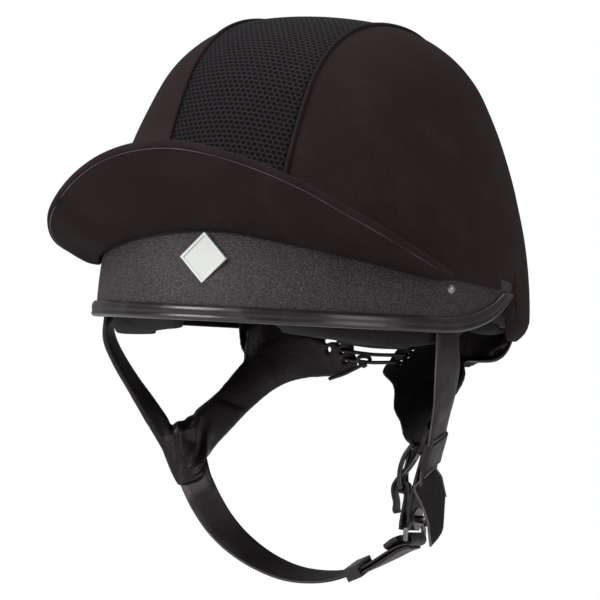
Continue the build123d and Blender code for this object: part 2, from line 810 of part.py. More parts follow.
corner_y = link_half_width - link_bar_radius
link = rod((down.X, -corner_y, down.Z), (down.X, corner_y, down.Z), link_bar_radius)
for side in (-1, 1):
    foot = (down.X, side * corner_y, down.Z)
    knee = (down.X, side * corner_y, down.Z + link_knee)
    shoulder = (stud_centre[0], side * link_eye_radius, stud_centre[2])
    link = link + rod(foot, knee, link_bar_radius) + rod(knee, shoulder, link_bar_radius)
    for corner in (foot, knee):
        link = link + Pos(*corner) * Sphere(link_bar_radius)
link = link + extrude(stud_frame * Circle(link_eye_radius + link_bar_radius), link_wall / 2, both=True)
link = link - extrude(stud_frame * Circle(stud_radius + stud_clearance), overrun, both=True)
save("strap_link", solid_of(link))


def stud_part(low, high, radius):
    return extrude(stud_frame.offset(low) * Circle(radius), high - low)


stud = stud_part(-stud_inner_length, stud_outer_length, stud_radius)
stud = stud + stud_part(stud_outer_length, stud_outer_length + stud_head_wall, stud_head_radius)
stud = stud + stud_part(-stud_inner_length - stud_head_wall, -stud_inner_length, stud_head_radius)
save("link_stud", solid_of(stud))

# buckle: everything is placed in the frame's own plane, x along the heel bar, y up the
# frame and z towards the cheek

frame_plane = Plane(
    origin=Vector(*heel_centre),
    x_dir=heel_direction,
    z_dir=Vector(*heel_direction).cross(Vector(*frame_lean)),
)
cheek = -1.0


def in_frame(x, y, z):
    """World place of a point given in the frame's plane, z towards the cheek."""
    return tuple((frame_plane * Pos(x, y, cheek * z)).position)


frame = rod(in_frame(-buckle_half_width, 0.0, 0.0), in_frame(buckle_half_width, 0.0, 0.0), buckle_wire_radius)
frame = frame + rod(in_frame(-buckle_half_width, buckle_height, 0.0),
                    in_frame(buckle_half_width, buckle_height, 0.0), buckle_wire_radius)
for side in (-buckle_half_width, buckle_half_width):
    low, high = in_frame(side, 0.0, 0.0), in_frame(side, buckle_height, 0.0)
    rail = ThreePointArc(low, in_frame(side, buckle_height / 2, buckle_bow), high)
    frame = frame + sweep(Plane(origin=rail @ 0, z_dir=rail % 0) * Circle(buckle_wire_radius), path=rail)
    for corner in (low, high):
        frame = frame + Pos(*corner) * Sphere(buckle_wire_radius)
save("buckle_frame", solid_of(frame))

heel_axis_reach = buckle_half_width + overrun
heel_bore = rod(in_frame(-heel_axis_reach, 0.0, 0.0), in_frame(heel_axis_reach, 0.0, 0.0),
                buckle_wire_radius + prong_clearance)
prong_rest = buckle_wire_radius + prong_radius + prong_seat
prong_foot = in_frame(0.0, prong_radius, prong_eye_radius - prong_radius)
prong_tip = in_frame(0.0, buckle_height + buckle_wire_radius, prong_rest)
prong = rod(in_frame(-prong_eye_half, 0.0, 0.0), in_frame(prong_eye_half, 0.0, 0.0), prong_eye_radius)
prong = prong + rod(prong_foot, prong_tip, prong_radius) + Pos(*prong_tip) * Sphere(prong_radius)
save("buckle_prong", solid_of(prong - heel_bore))

# chape

fold_radius = buckle_wire_radius + loop_clearance + chape_wall
web_offset = fold_radius - chape_wall / 2
chape_start = (in_frame(0.0, 0.0, -web_offset), heel_direction)
chape_half = chape_width / 2
fold = rod(in_frame(-chape_half, 0.0, 0.0), in_frame(chape_half, 0.0, 0.0), fold_radius)
chape = join(ribbon(edges_of([chape_start] + chape_path, chape_width), chape_wall), fold)
chape = chape - rod(in_frame(-heel_axis_reach, 0.0, 0.0), in_frame(heel_axis_reach, 0.0, 0.0),
                    buckle_wire_radius + loop_clearance)
room = prong_eye_radius + 2 * leather_clearance
prong_room = Box(2 * (prong_eye_half + leather_clearance), 2 * room, 2 * room + chape_wall)
chape = solid_of(chape - frame_plane * prong_room)
chape = chape - stud_part(-overrun, overrun, stud_radius + leather_clearance)
save("buckle_chape", solid_of(chape))

# holed strap and tail

holed_path = [(place, heel_direction) for place in holed_top]
holed_path += [(in_frame(0.0, y, z), heel_direction) for y, z in holed_in_frame]
holed_path += [(place, heel_direction) for place in holed_tail]
holed = ribbon(edges_of(holed_path, holed_width), holed_wall)
slot = Pos(0.0, slot_low + slot_length / 2) * SlotOverall(slot_length, slot_width, rotation=90.0)
holed = holed - extrude(frame_plane * slot, overrun, both=True)
save("holed_strap", solid_of(holed))

# guard pad, with its point down

guard_frame = Plane(origin=Vector(*guard_centre), x_dir=(0.0, 1.0, 0.0), z_dir=(1.0, 0.0, 0.0))
half = guard_width / 2
guard_outline = Polyline(
    (-half, guard_half_height),
    (half, guard_half_height),
    (half, -guard_half_height),
    (0.0, -guard_half_height - guard_point),
    (-half, -guard_half_height),
    (-half, guard_half_height),
)
guard = extrude(guard_frame * Face(Wire(guard_outline.edges())), guard_wall / 2, both=True)
save("guard_pad", solid_of(guard))

# slider on the chin strap: a flat frame in two windows

here = Vector(*chin_path[slider_station][0])
ahead = Vector(*chin_path[slider_station + 1][0])
along = unit(ahead - here)
width_way = Vector(*chin_path[slider_station][1])
width_way = unit(width_way - along * width_way.dot(along))
slider_plane = Plane(origin=(here + ahead) / 2, x_dir=width_way, z_dir=along)
inner_x = chin_width + 2 * slider_gap
inner_y = chin_wall + 2 * slider_gap + slider_room
body = Box(inner_x + 2 * slider_wall, inner_y + 2 * slider_wall, slider_length)
slider = slider_plane * (body - Box(inner_x, inner_y, 2 * slider_length))
save("slider", solid_of(slider))
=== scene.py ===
import math

import bmesh
import bpy
import numpy as np
from mathutils import Matrix, Vector, noise


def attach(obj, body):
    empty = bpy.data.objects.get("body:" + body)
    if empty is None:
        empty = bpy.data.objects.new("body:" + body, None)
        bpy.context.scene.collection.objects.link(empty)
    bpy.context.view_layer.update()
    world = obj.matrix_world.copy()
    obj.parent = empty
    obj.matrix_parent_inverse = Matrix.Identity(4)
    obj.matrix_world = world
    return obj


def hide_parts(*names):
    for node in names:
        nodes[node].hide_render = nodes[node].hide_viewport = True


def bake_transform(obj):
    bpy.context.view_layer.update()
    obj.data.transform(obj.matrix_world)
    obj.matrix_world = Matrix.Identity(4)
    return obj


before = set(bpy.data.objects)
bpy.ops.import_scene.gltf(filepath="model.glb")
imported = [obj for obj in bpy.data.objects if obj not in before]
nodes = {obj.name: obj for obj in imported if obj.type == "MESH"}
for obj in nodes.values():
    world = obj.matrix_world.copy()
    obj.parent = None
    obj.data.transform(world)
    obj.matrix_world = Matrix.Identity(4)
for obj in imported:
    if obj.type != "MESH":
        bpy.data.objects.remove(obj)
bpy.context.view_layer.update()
mm = 0.001
print("frame loaded")


# shell surface: three tangent arcs turned about the head's axis and stretched front to back

domeSize = {"halfWidth": 107.5, "halfLength": 130.5, "sideRadius": 275.0, "sideTurn": 26.0,
            "shoulderRadius": 68.0, "shoulderTurn": 80.0}
stretch = domeSize["halfLength"] / domeSize["halfWidth"]
sideTurn, shoulderTurn = math.radians(domeSize["sideTurn"]), math.radians(domeSize["shoulderTurn"])
sideRadius, shoulderRadius = domeSize["sideRadius"], domeSize["shoulderRadius"]
sideCentre = (domeSize["halfWidth"] - sideRadius, 0.0)
shoulderCentre = (sideCentre[0] + (sideRadius - shoulderRadius) * math.cos(sideTurn),
                  (sideRadius - shoulderRadius) * math.sin(sideTurn))
crownRadius = shoulderRadius + shoulderCentre[0] / math.cos(shoulderTurn)
crownCentre = (0.0, shoulderCentre[1] - shoulderCentre[0] * math.tan(shoulderTurn))


# half width and height of the dome where its face leans by alpha
def profile(alpha, outset):
    if alpha < sideTurn:
        centre, radius = sideCentre, sideRadius
    elif alpha < shoulderTurn:
        centre, radius = shoulderCentre, shoulderRadius
    else:
        centre, radius = crownCentre, crownRadius
    return centre[0] + (radius + outset) * math.cos(alpha), centre[1] + (radius + outset) * math.sin(alpha)


# lean at which a rising test passes zero
def alphaAt(test, low=-0.1, high=math.pi / 2):
    for _ in range(36):
        middle = (low + high) / 2
        low, high = (middle, high) if test(middle) < 0 else (low, middle)
    return (low + high) / 2


def alphaAtZ(z, outset=0.0):
    return alphaAt(lambda a: profile(a, outset)[1] - z)


# point of the dome, turn from the front towards the wearer's left
def onDome(turn, alpha, outset):
    radius, z = profile(alpha, outset)
    return Vector((radius * math.sin(turn), -stretch * radius * math.cos(turn), z))


edgeSize = {"rootFront": 47.4, "rootFall": 19.4, "rootX": 99.0, "rootY": -50.0, "rootEnd": 28.0,
            "tipY": 21.5, "tipZ": 22.0, "napeZ": -2.6, "corner": 8.0, "archY": -54.0, "archRadius": 126.0}


# height of the cover's lower edge
def coverHem(x, y):
    if y < edgeSize["rootY"]:
        return edgeSize["rootFront"] - edgeSize["rootFall"] * min(1.0, abs(x) / edgeSize["rootX"]) ** 1.6
    if y < edgeSize["tipY"]:
        share = (y - edgeSize["rootY"]) / (edgeSize["tipY"] - edgeSize["rootY"])
        return edgeSize["rootEnd"] + share * (edgeSize["tipZ"] - edgeSize["rootEnd"])
    inside = max(0.0, edgeSize["corner"] - (y - edgeSize["tipY"]))
    return edgeSize["napeZ"] + edgeSize["corner"] - math.sqrt(edgeSize["corner"] ** 2 - inside ** 2)


# height of the trim's lower edge
def rimZ(y):
    return 0.0 if y < edgeSize["archY"] else edgeSize["archRadius"] - math.sqrt(
        edgeSize["archRadius"] ** 2 - (y - edgeSize["archY"]) ** 2)


# mesh builders

def linked(name, data):
    piece = bpy.data.objects.new(name, data)
    bpy.context.scene.collection.objects.link(piece)
    return piece


def smoothFaces(mesh):
    mesh.polygons.foreach_set("use_smooth", [True] * len(mesh.polygons))
    mesh.update()


# distances from the first point along each line of the grid
def runLengths(grid, axis):
    steps = np.linalg.norm(np.diff(grid, axis=axis), axis=2)
    start = np.zeros((grid.shape[0], 1) if axis == 1 else (1, grid.shape[1]))
    return np.concatenate([start, np.cumsum(steps, axis=axis)], axis=axis)


# smooth quads through rows of points in millimetres; the map is in centimetres of cloth
def gridPiece(name, rows, closed=False):
    grid = np.array([[tuple(p) for p in row] for row in rows], float)
    count = grid.shape[1]
    faces = []
    for i in range(grid.shape[0] - 1):
        for j in range(count if closed else count - 1):
            k = (j + 1) % count
            faces.append((i * count + j, i * count + k, (i + 1) * count + k, (i + 1) * count + j))
    uvs = np.stack([runLengths(grid, 1), runLengths(grid, 0)], axis=2).reshape(-1, 2) * 0.1
    mesh = bpy.data.meshes.new(name)
    mesh.from_pydata([tuple(Vector(p) * mm) for p in grid.reshape(-1, 3)], [], faces)
    layer = mesh.uv_layers.new(name="clothUv")
    for loop in mesh.loops:
        layer.data[loop.index].uv = uvs[loop.vertex_index]
    smoothFaces(mesh)
    return linked(name, mesh)


# applies every modifier
def apply(piece):
    bpy.context.view_layer.update()
    made = bpy.data.meshes.new_from_object(piece.evaluated_get(bpy.context.evaluated_depsgraph_get()))
    piece.modifiers.clear()
    piece.data = made
    return piece


# joins doubled points, or closes the open ends of a tube, and turns the faces outwards
def mended(piece, ends=False):
    bm = bmesh.new()
    bm.from_mesh(piece.data)
    if ends:
        bmesh.ops.holes_fill(bm, edges=[e for e in bm.edges if e.is_boundary])
    else:
        bmesh.ops.remove_doubles(bm, verts=bm.verts, dist=0.02 * mm)
    bmesh.ops.recalc_face_normals(bm, faces=bm.faces)
    bm.to_mesh(piece.data)
    bm.free()
    return piece


def thicken(piece, wall):
    solid = piece.modifiers.new("wall", "SOLIDIFY")
    solid.thickness, solid.offset = wall * mm, -1.0
    return apply(piece)


# Catmull-Rom points through the stations
def spline(stations, count):
    pts = [np.array(s, float) for s in stations]
    pts = [2 * pts[0] - pts[1]] + pts + [2 * pts[-1] - pts[-2]]
    out = []
    spans = len(pts) - 3
    for i in range(count):
        place = i / (count - 1) * spans
        k = min(int(place), spans - 1)
        t = place - k
        a, b, c, d = pts[k:k + 4]
        bend = (2 * a - 5 * b + 4 * c - d) * t * t + (3 * b - a - 3 * c + d) * t ** 3
        out.append(0.5 * ((2 * b) + (c - a) * t + bend))
    return np.array(out)


strapSize = {"across": 23, "grooveDepth": 0.22, "grooveWidth": 0.45}


# closed strap with rounded edges between two smooth edge lines; the stitch groove's place is from the edge
def strapPiece(name, edgesA, edgesB, wall, count=90, groove=0.0, bulge=0.0):
    a, b = spline(edgesA, count), spline(edgesB, count)
    centre, half = (a + b) / 2, (b - a) / 2
    run = np.gradient(centre, axis=0)
    normal = np.cross(half, run)
    normal /= np.linalg.norm(normal, axis=1)[:, None]
    width = np.linalg.norm(half, axis=1)
    places = np.sin(np.linspace(-math.pi / 2, math.pi / 2, strapSize["across"]))
    rows = []
    for i in range(count):
        top, low = [], []
        for q in places:
            edge = max(0.0, 1.0 - abs(q) ** 10) ** 0.5
            fromGroove = ((1 - abs(q)) * width[i] - groove) / strapSize["grooveWidth"]
            dip = strapSize["grooveDepth"] * math.exp(-fromGroove ** 2) if groove else 0.0
            thick = wall / 2 * edge * (1 + bulge * (1 - q * q)) - dip * edge
            base = centre[i] + half[i] * q
            top.append(base + normal[i] * thick)
            low.append(base - normal[i] * thick)
        rows.append(top + low[-2:0:-1])
    return mended(gridPiece(name, rows, closed=True), ends=True)


# round cord through points in millimetres
def tube(name, points, radius, count=0):
    pts = spline(points, count) if count else np.array([tuple(p) for p in points], float)
    curve = bpy.data.curves.new(name, "CURVE")
    curve.dimensions = "3D"
    curve.bevel_depth, curve.bevel_resolution, curve.use_fill_caps = radius * mm, 4, True
    line = curve.splines.new("POLY")
    line.points.add(len(pts) - 1)
    for point, place in zip(line.points, pts):
        point.co = (*(place * mm), 1.0)
    piece = linked(name, curve)
    mesh = bpy.data.meshes.new_from_object(piece.evaluated_get(bpy.context.evaluated_depsgraph_get()))
    bpy.data.objects.remove(piece)
    smoothFaces(mesh)
    return linked(name, mesh)


# voxel union of CAD solids and strap pieces, softened; the strap pieces are used up
def softUnion(name, sources, voxel, rounds, parts=()):
    bm = bmesh.new()
    for source in sources:
        bm.from_mesh(nodes[source].data)
    for part in parts:
        bm.from_mesh(part.data)
        bpy.data.objects.remove(part)
    mesh = bpy.data.meshes.new(name)
    bm.to_mesh(mesh)
    bm.free()
    piece = linked(name, mesh)
    remesh = piece.modifiers.new("even", "REMESH")
    remesh.mode, remesh.voxel_size = "VOXEL", voxel * mm
    smooth = piece.modifiers.new("soft", "SMOOTH")
    smooth.factor, smooth.iterations = 0.5, rounds
    apply(piece)
    smoothFaces(piece.data)
    return piece


fineCreases = {"amount": 0.12, "grain": 0.02, "octave": 0.5,
               "ridgeScale": 0.8, "sharpness": 5.0, "ridge": 0.7}
broadCreases = {"amount": 0.16, "grain": 0.028, "octave": 0.0,
                "ridgeScale": 1.1, "sharpness": 6.0, "ridge": 0.8}


# low uneven creases over a soft piece
def crease(piece, look):
    for vertex in piece.data.vertices:
        place = vertex.co / look["grain"]
        swell = noise.noise(place) + look["octave"] * noise.noise(place * 2.3)
        valley = noise.noise(place * look["ridgeScale"] + Vector((5.0, 2.0, 7.0)))
        ridge = 1.0 - min(1.0, abs(valley) * look["sharpness"])
        vertex.co += vertex.normal * (swell + ridge * look["ridge"]) * look["amount"] * mm
    piece.data.update()


# short pressure simulation; no point moves further than the cap
def inflate(piece, pressure, cap):
    rest = np.array([v.co for v in piece.data.vertices])
    cloth = piece.modifiers.new("air", "CLOTH")
    settings = cloth.settings
    settings.quality, settings.mass = 6, 0.3
    settings.tension_stiffness = settings.compression_stiffness = settings.shear_stiffness = 20.0
    settings.bending_stiffness = 2.0
    settings.use_pressure, settings.uniform_pressure_force = True, pressure
    settings.effector_weights.gravity = 0.0
    cloth.point_cache.frame_start, cloth.point_cache.frame_end = 1, 14
    for step in range(1, 15):
        bpy.context.scene.frame_set(step)
    apply(piece)
    bpy.context.scene.frame_set(1)
    moved = np.array([v.co for v in piece.data.vertices])
    change = moved - rest
    size = np.linalg.norm(change, axis=1)[:, None]
    change *= np.minimum(1.0, cap * mm / np.maximum(size, 1e-9))
    piece.data.vertices.foreach_set("co", (rest + change).ravel())
    piece.data.update()
    return piece


# shader groups

def newGroup(name, inputs, outputs):
    group = bpy.data.node_groups.new(name, "ShaderNodeTree")
    for label, value in inputs:
        kind = "NodeSocketVector" if value is None else "NodeSocketFloat"
        socket = group.interface.new_socket(name=label, in_out="INPUT", socket_type=kind)
        if value is not None:
            socket.default_value = value
    for label, kind in outputs:
        group.interface.new_socket(name=label, in_out="OUTPUT", socket_type=kind)
    return group, group.nodes.new("NodeGroupInput"), group.nodes.new("NodeGroupOutput")


# node with settings; values whose key starts with s fill the sockets of that number
def shaderNode(tree, kind, **values):
    made = tree.nodes.new(kind)
    for key, value in values.items():
        if key[0] == "s" and key[1:].isdigit():
            made.inputs[int(key[1:])].default_value = value
        else:
            setattr(made, key, value)
    return made


def mathNode(tree, operation, first, second=None):
    made = shaderNode(tree, "ShaderNodeMath", operation=operation)
    for index, value in enumerate((first, second)):
        if value is None:
            continue
        if isinstance(value, (int, float)):
            made.inputs[index].default_value = value
        else:
            tree.links.new(value, made.inputs[index])
    return made.outputs[0]


def ramp(tree, value, low, high, toLow=0.0, toHigh=1.0):
    made = shaderNode(tree, "ShaderNodeMapRange", interpolation_type="SMOOTHSTEP",
                      s1=low, s2=high, s3=toLow, s4=toHigh)
    tree.links.new(value, made.inputs[0])
    return made.outputs[0]


group, inputs, outputs = newGroup("clothGrain", [("Place", None), ("Scale", 900.0)],
                                  [("Height", "NodeSocketFloat"), ("Lint", "NodeSocketFloat")])
fine = shaderNode(group, "ShaderNodeTexNoise", s3=4.0, s4=0.6)
slow = shaderNode(group, "ShaderNodeTexNoise", s2=70.0, s3=3.0)
threads = shaderNode(group, "ShaderNodeTexVoronoi", feature="F1")
group.links.new(inputs.outputs[0], fine.inputs[0])
group.links.new(inputs.outputs[0], slow.inputs[0])
group.links.new(inputs.outputs[0], threads.inputs[0])
group.links.new(inputs.outputs[1], fine.inputs[2])
group.links.new(inputs.outputs[1], threads.inputs[2])
height = mathNode(group, "ADD", fine.outputs[0], mathNode(group, "MULTIPLY", threads.outputs[0], 0.8))
group.links.new(height, outputs.inputs[0])
group.links.new(ramp(group, slow.outputs[0], 0.35, 0.75), outputs.inputs[1])
clothGrain = group

group, inputs, outputs = newGroup("leatherGrain", [("Place", None), ("Scale", 520.0)],
                                  [("Height", "NodeSocketFloat"), ("Shine", "NodeSocketFloat")])
cells = shaderNode(group, "ShaderNodeTexVoronoi", feature="DISTANCE_TO_EDGE")
folds = shaderNode(group, "ShaderNodeTexNoise", s2=110.0, s3=5.0, s4=0.62)
group.links.new(inputs.outputs[0], cells.inputs[0])
group.links.new(inputs.outputs[1], cells.inputs[2])
group.links.new(inputs.outputs[0], folds.inputs[0])
pores = ramp(group, cells.outputs[0], 0.0, 0.22)
height = mathNode(group, "ADD", pores, mathNode(group, "MULTIPLY", folds.outputs[0], 2.2))
group.links.new(height, outputs.inputs[0])
group.links.new(ramp(group, folds.outputs[0], 0.4, 0.68), outputs.inputs[1])
leatherGrain = group

group, inputs, outputs = newGroup("knitCells", [("Place", None), ("Pitch", 2.3)],
                                  [("Thread", "NodeSocketFloat"), ("Height", "NodeSocketFloat")])
axes = shaderNode(group, "ShaderNodeSeparateXYZ")
group.links.new(inputs.outputs[0], axes.inputs[0])
wide = mathNode(group, "DIVIDE", mathNode(group, "MULTIPLY", axes.outputs[0], 10.0), inputs.outputs[1])
tall = mathNode(group, "DIVIDE", mathNode(group, "MULTIPLY", axes.outputs[1], 11.5), inputs.outputs[1])
odd = mathNode(group, "MULTIPLY", mathNode(group, "FLOORED_MODULO", mathNode(group, "FLOOR", tall), 2.0), 0.5)
x = mathNode(group, "SUBTRACT", mathNode(group, "FRACT", mathNode(group, "ADD", wide, odd)), 0.5)
y = mathNode(group, "SUBTRACT", mathNode(group, "FRACT", tall), 0.5)
squares = [mathNode(group, "POWER", mathNode(group, "ABSOLUTE", side), 2.0) for side in (x, y)]
away = mathNode(group, "SQRT", mathNode(group, "ADD", *squares))
thread = ramp(group, away, 0.33, 0.45)
group.links.new(thread, outputs.inputs[0])
twist = shaderNode(group, "ShaderNodeTexNoise", s2=60.0, s3=3.0)
group.links.new(inputs.outputs[0], twist.inputs[0])
height = mathNode(group, "ADD", thread, mathNode(group, "MULTIPLY", twist.outputs[0], 0.4))
group.links.new(height, outputs.inputs[1])
knitCells = group

group, inputs, outputs = newGroup("edgeWear", [("Amount", 0.5)], [("Wear", "NodeSocketFloat")])
shape = shaderNode(group, "ShaderNodeNewGeometry")
patch = shaderNode(group, "ShaderNodeTexNoise", s2=240.0, s3=4.0)
wear = mathNode(group, "MULTIPLY", ramp(group, shape.outputs["Pointiness"], 0.51, 0.56),
                ramp(group, patch.outputs[0], 0.35, 0.7))
group.links.new(mathNode(group, "MULTIPLY", wear, inputs.outputs[0]), outputs.inputs[0])
edgeWear = group

group, inputs, outputs = newGroup("fineDust", [("Place", None), ("Amount", 0.03)],
                                  [("Dust", "NodeSocketFloat")])
cloud = shaderNode(group, "ShaderNodeTexNoise", s2=35.0, s3=6.0, s4=0.7)
group.links.new(inputs.outputs[0], cloud.inputs[0])
speckle = mathNode(group, "MULTIPLY", ramp(group, cloud.outputs[0], 0.42, 0.72), inputs.outputs[1])
group.links.new(speckle, outputs.inputs[0])
fineDust = group
print("shader groups made")


# materials

def newMaterial(name):
    material = bpy.data.materials.new(name)
    material.use_nodes = True
    tree = material.node_tree
    place = tree.nodes.new("ShaderNodeTexCoord")
    shader = tree.nodes["Principled BSDF"]
    shader.inputs["Specular Tint"].default_value = (1.0, 0.86, 0.89, 1.0)
    return material, tree, shader, place


def useGroup(tree, group, **values):
    made = tree.nodes.new("ShaderNodeGroup")
    made.node_tree = group
    for key, value in values.items():
        socket = made.inputs[key]
        if isinstance(value, (int, float)):
            socket.default_value = value
        else:
            tree.links.new(value, socket)
    return made


def mixColour(tree, factor, first, second):
    made = shaderNode(tree, "ShaderNodeMix", data_type="RGBA")
    if not isinstance(factor, (int, float)):
        tree.links.new(factor, made.inputs[0])
    else:
        made.inputs[0].default_value = factor
    for socket, value in ((6, first), (7, second)):
        if isinstance(value, tuple):
            made.inputs[socket].default_value = (*value, 1.0)
        else:
            tree.links.new(value, made.inputs[socket])
    return made.outputs[2]


def bump(tree, shader, height, strength, distance):
    made = shaderNode(tree, "ShaderNodeBump")
    made.inputs["Strength"].default_value = strength
    made.inputs["Distance"].default_value = distance * mm
    tree.links.new(height, made.inputs["Height"])
    tree.links.new(made.outputs[0], shader.inputs["Normal"])


def clothMaterial(name, dark, light, scale, rough, sheen, depth):
    material, tree, shader, place = newMaterial(name)
    grain = useGroup(tree, clothGrain, Place=place.outputs["Object"], Scale=scale)
    dust = useGroup(tree, fineDust, Place=place.outputs["Object"], Amount=0.04)
    colour = mixColour(tree, ramp(tree, grain.outputs["Height"], 0.35, 1.1), dark, light)
    colour = mixColour(tree, dust.outputs["Dust"], colour, (0.16, 0.15, 0.15))
    tree.links.new(colour, shader.inputs["Base Color"])
    gloss = ramp(tree, grain.outputs["Lint"], 0.0, 1.0, rough - 0.06, rough)
    tree.links.new(gloss, shader.inputs["Roughness"])
    shader.inputs["Sheen Weight"].default_value = sheen
    shader.inputs["Sheen Roughness"].default_value = 0.5
    shader.inputs["Specular IOR Level"].default_value = 0.12
    bump(tree, shader, grain.outputs["Height"], 0.7, depth)
    return material


def leatherMaterial(name, dark, light, rough, depth):
    material, tree, shader, place = newMaterial(name)
    grain = useGroup(tree, leatherGrain, Place=place.outputs["Object"], Scale=700.0)
    wear = useGroup(tree, edgeWear, Amount=0.25)
    dust = useGroup(tree, fineDust, Place=place.outputs["Object"], Amount=0.03)
    colour = mixColour(tree, grain.outputs["Shine"], dark, light)
    colour = mixColour(tree, wear.outputs["Wear"], colour, (0.12, 0.105, 0.11))
    colour = mixColour(tree, dust.outputs["Dust"], colour, (0.25, 0.24, 0.24))
    tree.links.new(colour, shader.inputs["Base Color"])
    gloss = ramp(tree, grain.outputs["Shine"], 0.0, 1.0, rough + 0.1, rough - 0.05)
    tree.links.new(gloss, shader.inputs["Roughness"])
    shader.inputs["Specular IOR Level"].default_value = 0.42
    bump(tree, shader, grain.outputs["Height"], 0.45, depth)
    return material


def hardMaterial(name, colour, worn, rough, metal=0.0, coat=0.0, scale=900.0, depth=0.02):
    material, tree, shader, place = newMaterial(name)
    grain = useGroup(tree, clothGrain, Place=place.outputs["Object"], Scale=scale)
    wear = useGroup(tree, edgeWear, Amount=0.6)
    dust = useGroup(tree, fineDust, Place=place.outputs["Object"], Amount=0.05)
    mixed = mixColour(tree, wear.outputs["Wear"], colour, worn)
    mixed = mixColour(tree, dust.outputs["Dust"], mixed, (0.3, 0.29, 0.28))
    tree.links.new(mixed, shader.inputs["Base Color"])
    gloss = ramp(tree, grain.outputs["Lint"], 0.0, 1.0, rough * 0.8, rough * 1.2)
    tree.links.new(gloss, shader.inputs["Roughness"])
    shader.inputs["Metallic"].default_value = metal
    shader.inputs["Coat Weight"].default_value = coat
    bump(tree, shader, grain.outputs["Height"], 0.25, depth)
    return material


coverCloth = clothMaterial("coverCloth", dark=(0.0095, 0.0055, 0.0058), light=(0.021, 0.0135, 0.0142),
                           scale=1500.0, rough=0.95, sheen=0.0, depth=0.06)
padCloth = clothMaterial("padCloth", dark=(0.007, 0.006, 0.0065), light=(0.02, 0.018, 0.019),
                         scale=1100.0, rough=0.92, sheen=0.02, depth=0.1)
leather = leatherMaterial("leather", dark=(0.0038, 0.0026, 0.0029), light=(0.0088, 0.0064, 0.007),
                          rough=0.33, depth=0.1)
# light copy of the leather for the edge cords and stitching; its light tone is a painted highlight along
# those edges, not the cords' own colour
highlightEdgeLeather = leatherMaterial("highlightEdgeLeather", dark=(0.075, 0.067, 0.072), light=(0.12, 0.108, 0.114),
                              rough=0.4, depth=0.04)
rubber = hardMaterial("rubber", colour=(0.0105, 0.0088, 0.0092), worn=(0.07, 0.064, 0.066),
                      rough=0.36, coat=0.1)
plastic = hardMaterial("plastic", colour=(0.014, 0.013, 0.014), worn=(0.0252, 0.0234, 0.0252),
                       rough=0.35, coat=0.2)
gunmetal = hardMaterial("gunmetal", colour=(0.055, 0.05, 0.053), worn=(0.3, 0.28, 0.28),
                        rough=0.38, metal=1.0)
steel = hardMaterial("steel", colour=(0.2, 0.195, 0.2), worn=(0.7, 0.7, 0.7), rough=0.3, metal=1.0)
rivetPaint = hardMaterial("rivetPaint", colour=(0.26, 0.25, 0.26), worn=(0.45, 0.44, 0.45),
                          rough=0.34, metal=0.8)
badgeFace = hardMaterial("badgeFace", colour=(0.62, 0.64, 0.61), worn=(0.8, 0.8, 0.8),
                         rough=0.35, coat=0.3, scale=1600.0)
foam = hardMaterial("foam", colour=(0.007, 0.0062, 0.0066), worn=(0.0126, 0.01116, 0.01188),
                    rough=0.8, scale=240.0, depth=0.4)

material, tree, shader, place = newMaterial("shellTexture")
flakes = shaderNode(tree, "ShaderNodeTexVoronoi", feature="F1", s2=1700.0)
crackle = shaderNode(tree, "ShaderNodeTexNoise", s2=1500.0, s3=4.0, s4=0.6)
for texture in (flakes, crackle):
    tree.links.new(place.outputs["Object"], texture.inputs[0])
speck = ramp(tree, crackle.outputs[0], 0.46, 0.62)
dust = useGroup(tree, fineDust, Place=place.outputs["Object"], Amount=0.05)
colour = mixColour(tree, speck, (0.0042, 0.0036, 0.0039), (0.064, 0.054, 0.059))
colour = mixColour(tree, dust.outputs["Dust"], colour, (0.2, 0.19, 0.2))
tree.links.new(colour, shader.inputs["Base Color"])
shader.inputs["Roughness"].default_value = 0.62
height = mathNode(tree, "ADD", crackle.outputs[0], mathNode(tree, "MULTIPLY", flakes.outputs[0], 0.6))
bump(tree, shader, height, 0.9, 0.35)
shellTexture = material

material, tree, shader, place = newMaterial("knitMesh")
cells = useGroup(tree, knitCells, Place=place.outputs["UV"], Pitch=3.1)
grain = useGroup(tree, clothGrain, Place=place.outputs["Object"], Scale=2200.0)
thread = mixColour(tree, ramp(tree, grain.outputs["Height"], 0.4, 1.1),
                   (0.0022, 0.0021, 0.0034), (0.0105, 0.0098, 0.0145))
colour = mixColour(tree, cells.outputs["Thread"], (0.0008, 0.0007, 0.001), thread)
tree.links.new(colour, shader.inputs["Base Color"])
tree.links.new(ramp(tree, cells.outputs["Thread"], 0.0, 1.0, 0.95, 0.6), shader.inputs["Roughness"])
shader.inputs["Specular IOR Level"].default_value = 0.22
bump(tree, shader, cells.outputs["Height"], 0.9, 0.7)
knitMesh = material

material, tree, shader, place = newMaterial("webbing")
axes = shaderNode(tree, "ShaderNodeSeparateXYZ")
tree.links.new(place.outputs["UV"], axes.inputs[0])
waves = []
for operation in ("ADD", "SUBTRACT"):
    slant = mathNode(tree, operation, axes.outputs[0], axes.outputs[1])
    waves.append(mathNode(tree, "SINE", mathNode(tree, "MULTIPLY", slant, 95.0)))
weave = mathNode(tree, "ADD", *waves)
grain = useGroup(tree, clothGrain, Place=place.outputs["Object"], Scale=1800.0)
colour = mixColour(tree, ramp(tree, weave, -1.5, 1.5), (0.0062, 0.005, 0.0054), (0.0095, 0.0078, 0.0084))
tree.links.new(colour, shader.inputs["Base Color"])
tree.links.new(ramp(tree, grain.outputs["Lint"], 0.0, 1.0, 0.36, 0.46), shader.inputs["Roughness"])
height = mathNode(tree, "ADD", weave, mathNode(tree, "MULTIPLY", grain.outputs["Height"], 0.5))
bump(tree, shader, height, 0.3, 0.05)
webbing = material
print("materials made")


# material, body and the CAD nodes that the piece stands for
def dress(piece, material, body="cap", replaced=()):
    piece.data.materials.clear()
    piece.data.materials.append(material)
    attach(piece, body)
    if replaced:
        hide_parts(*replaced)
    return piece


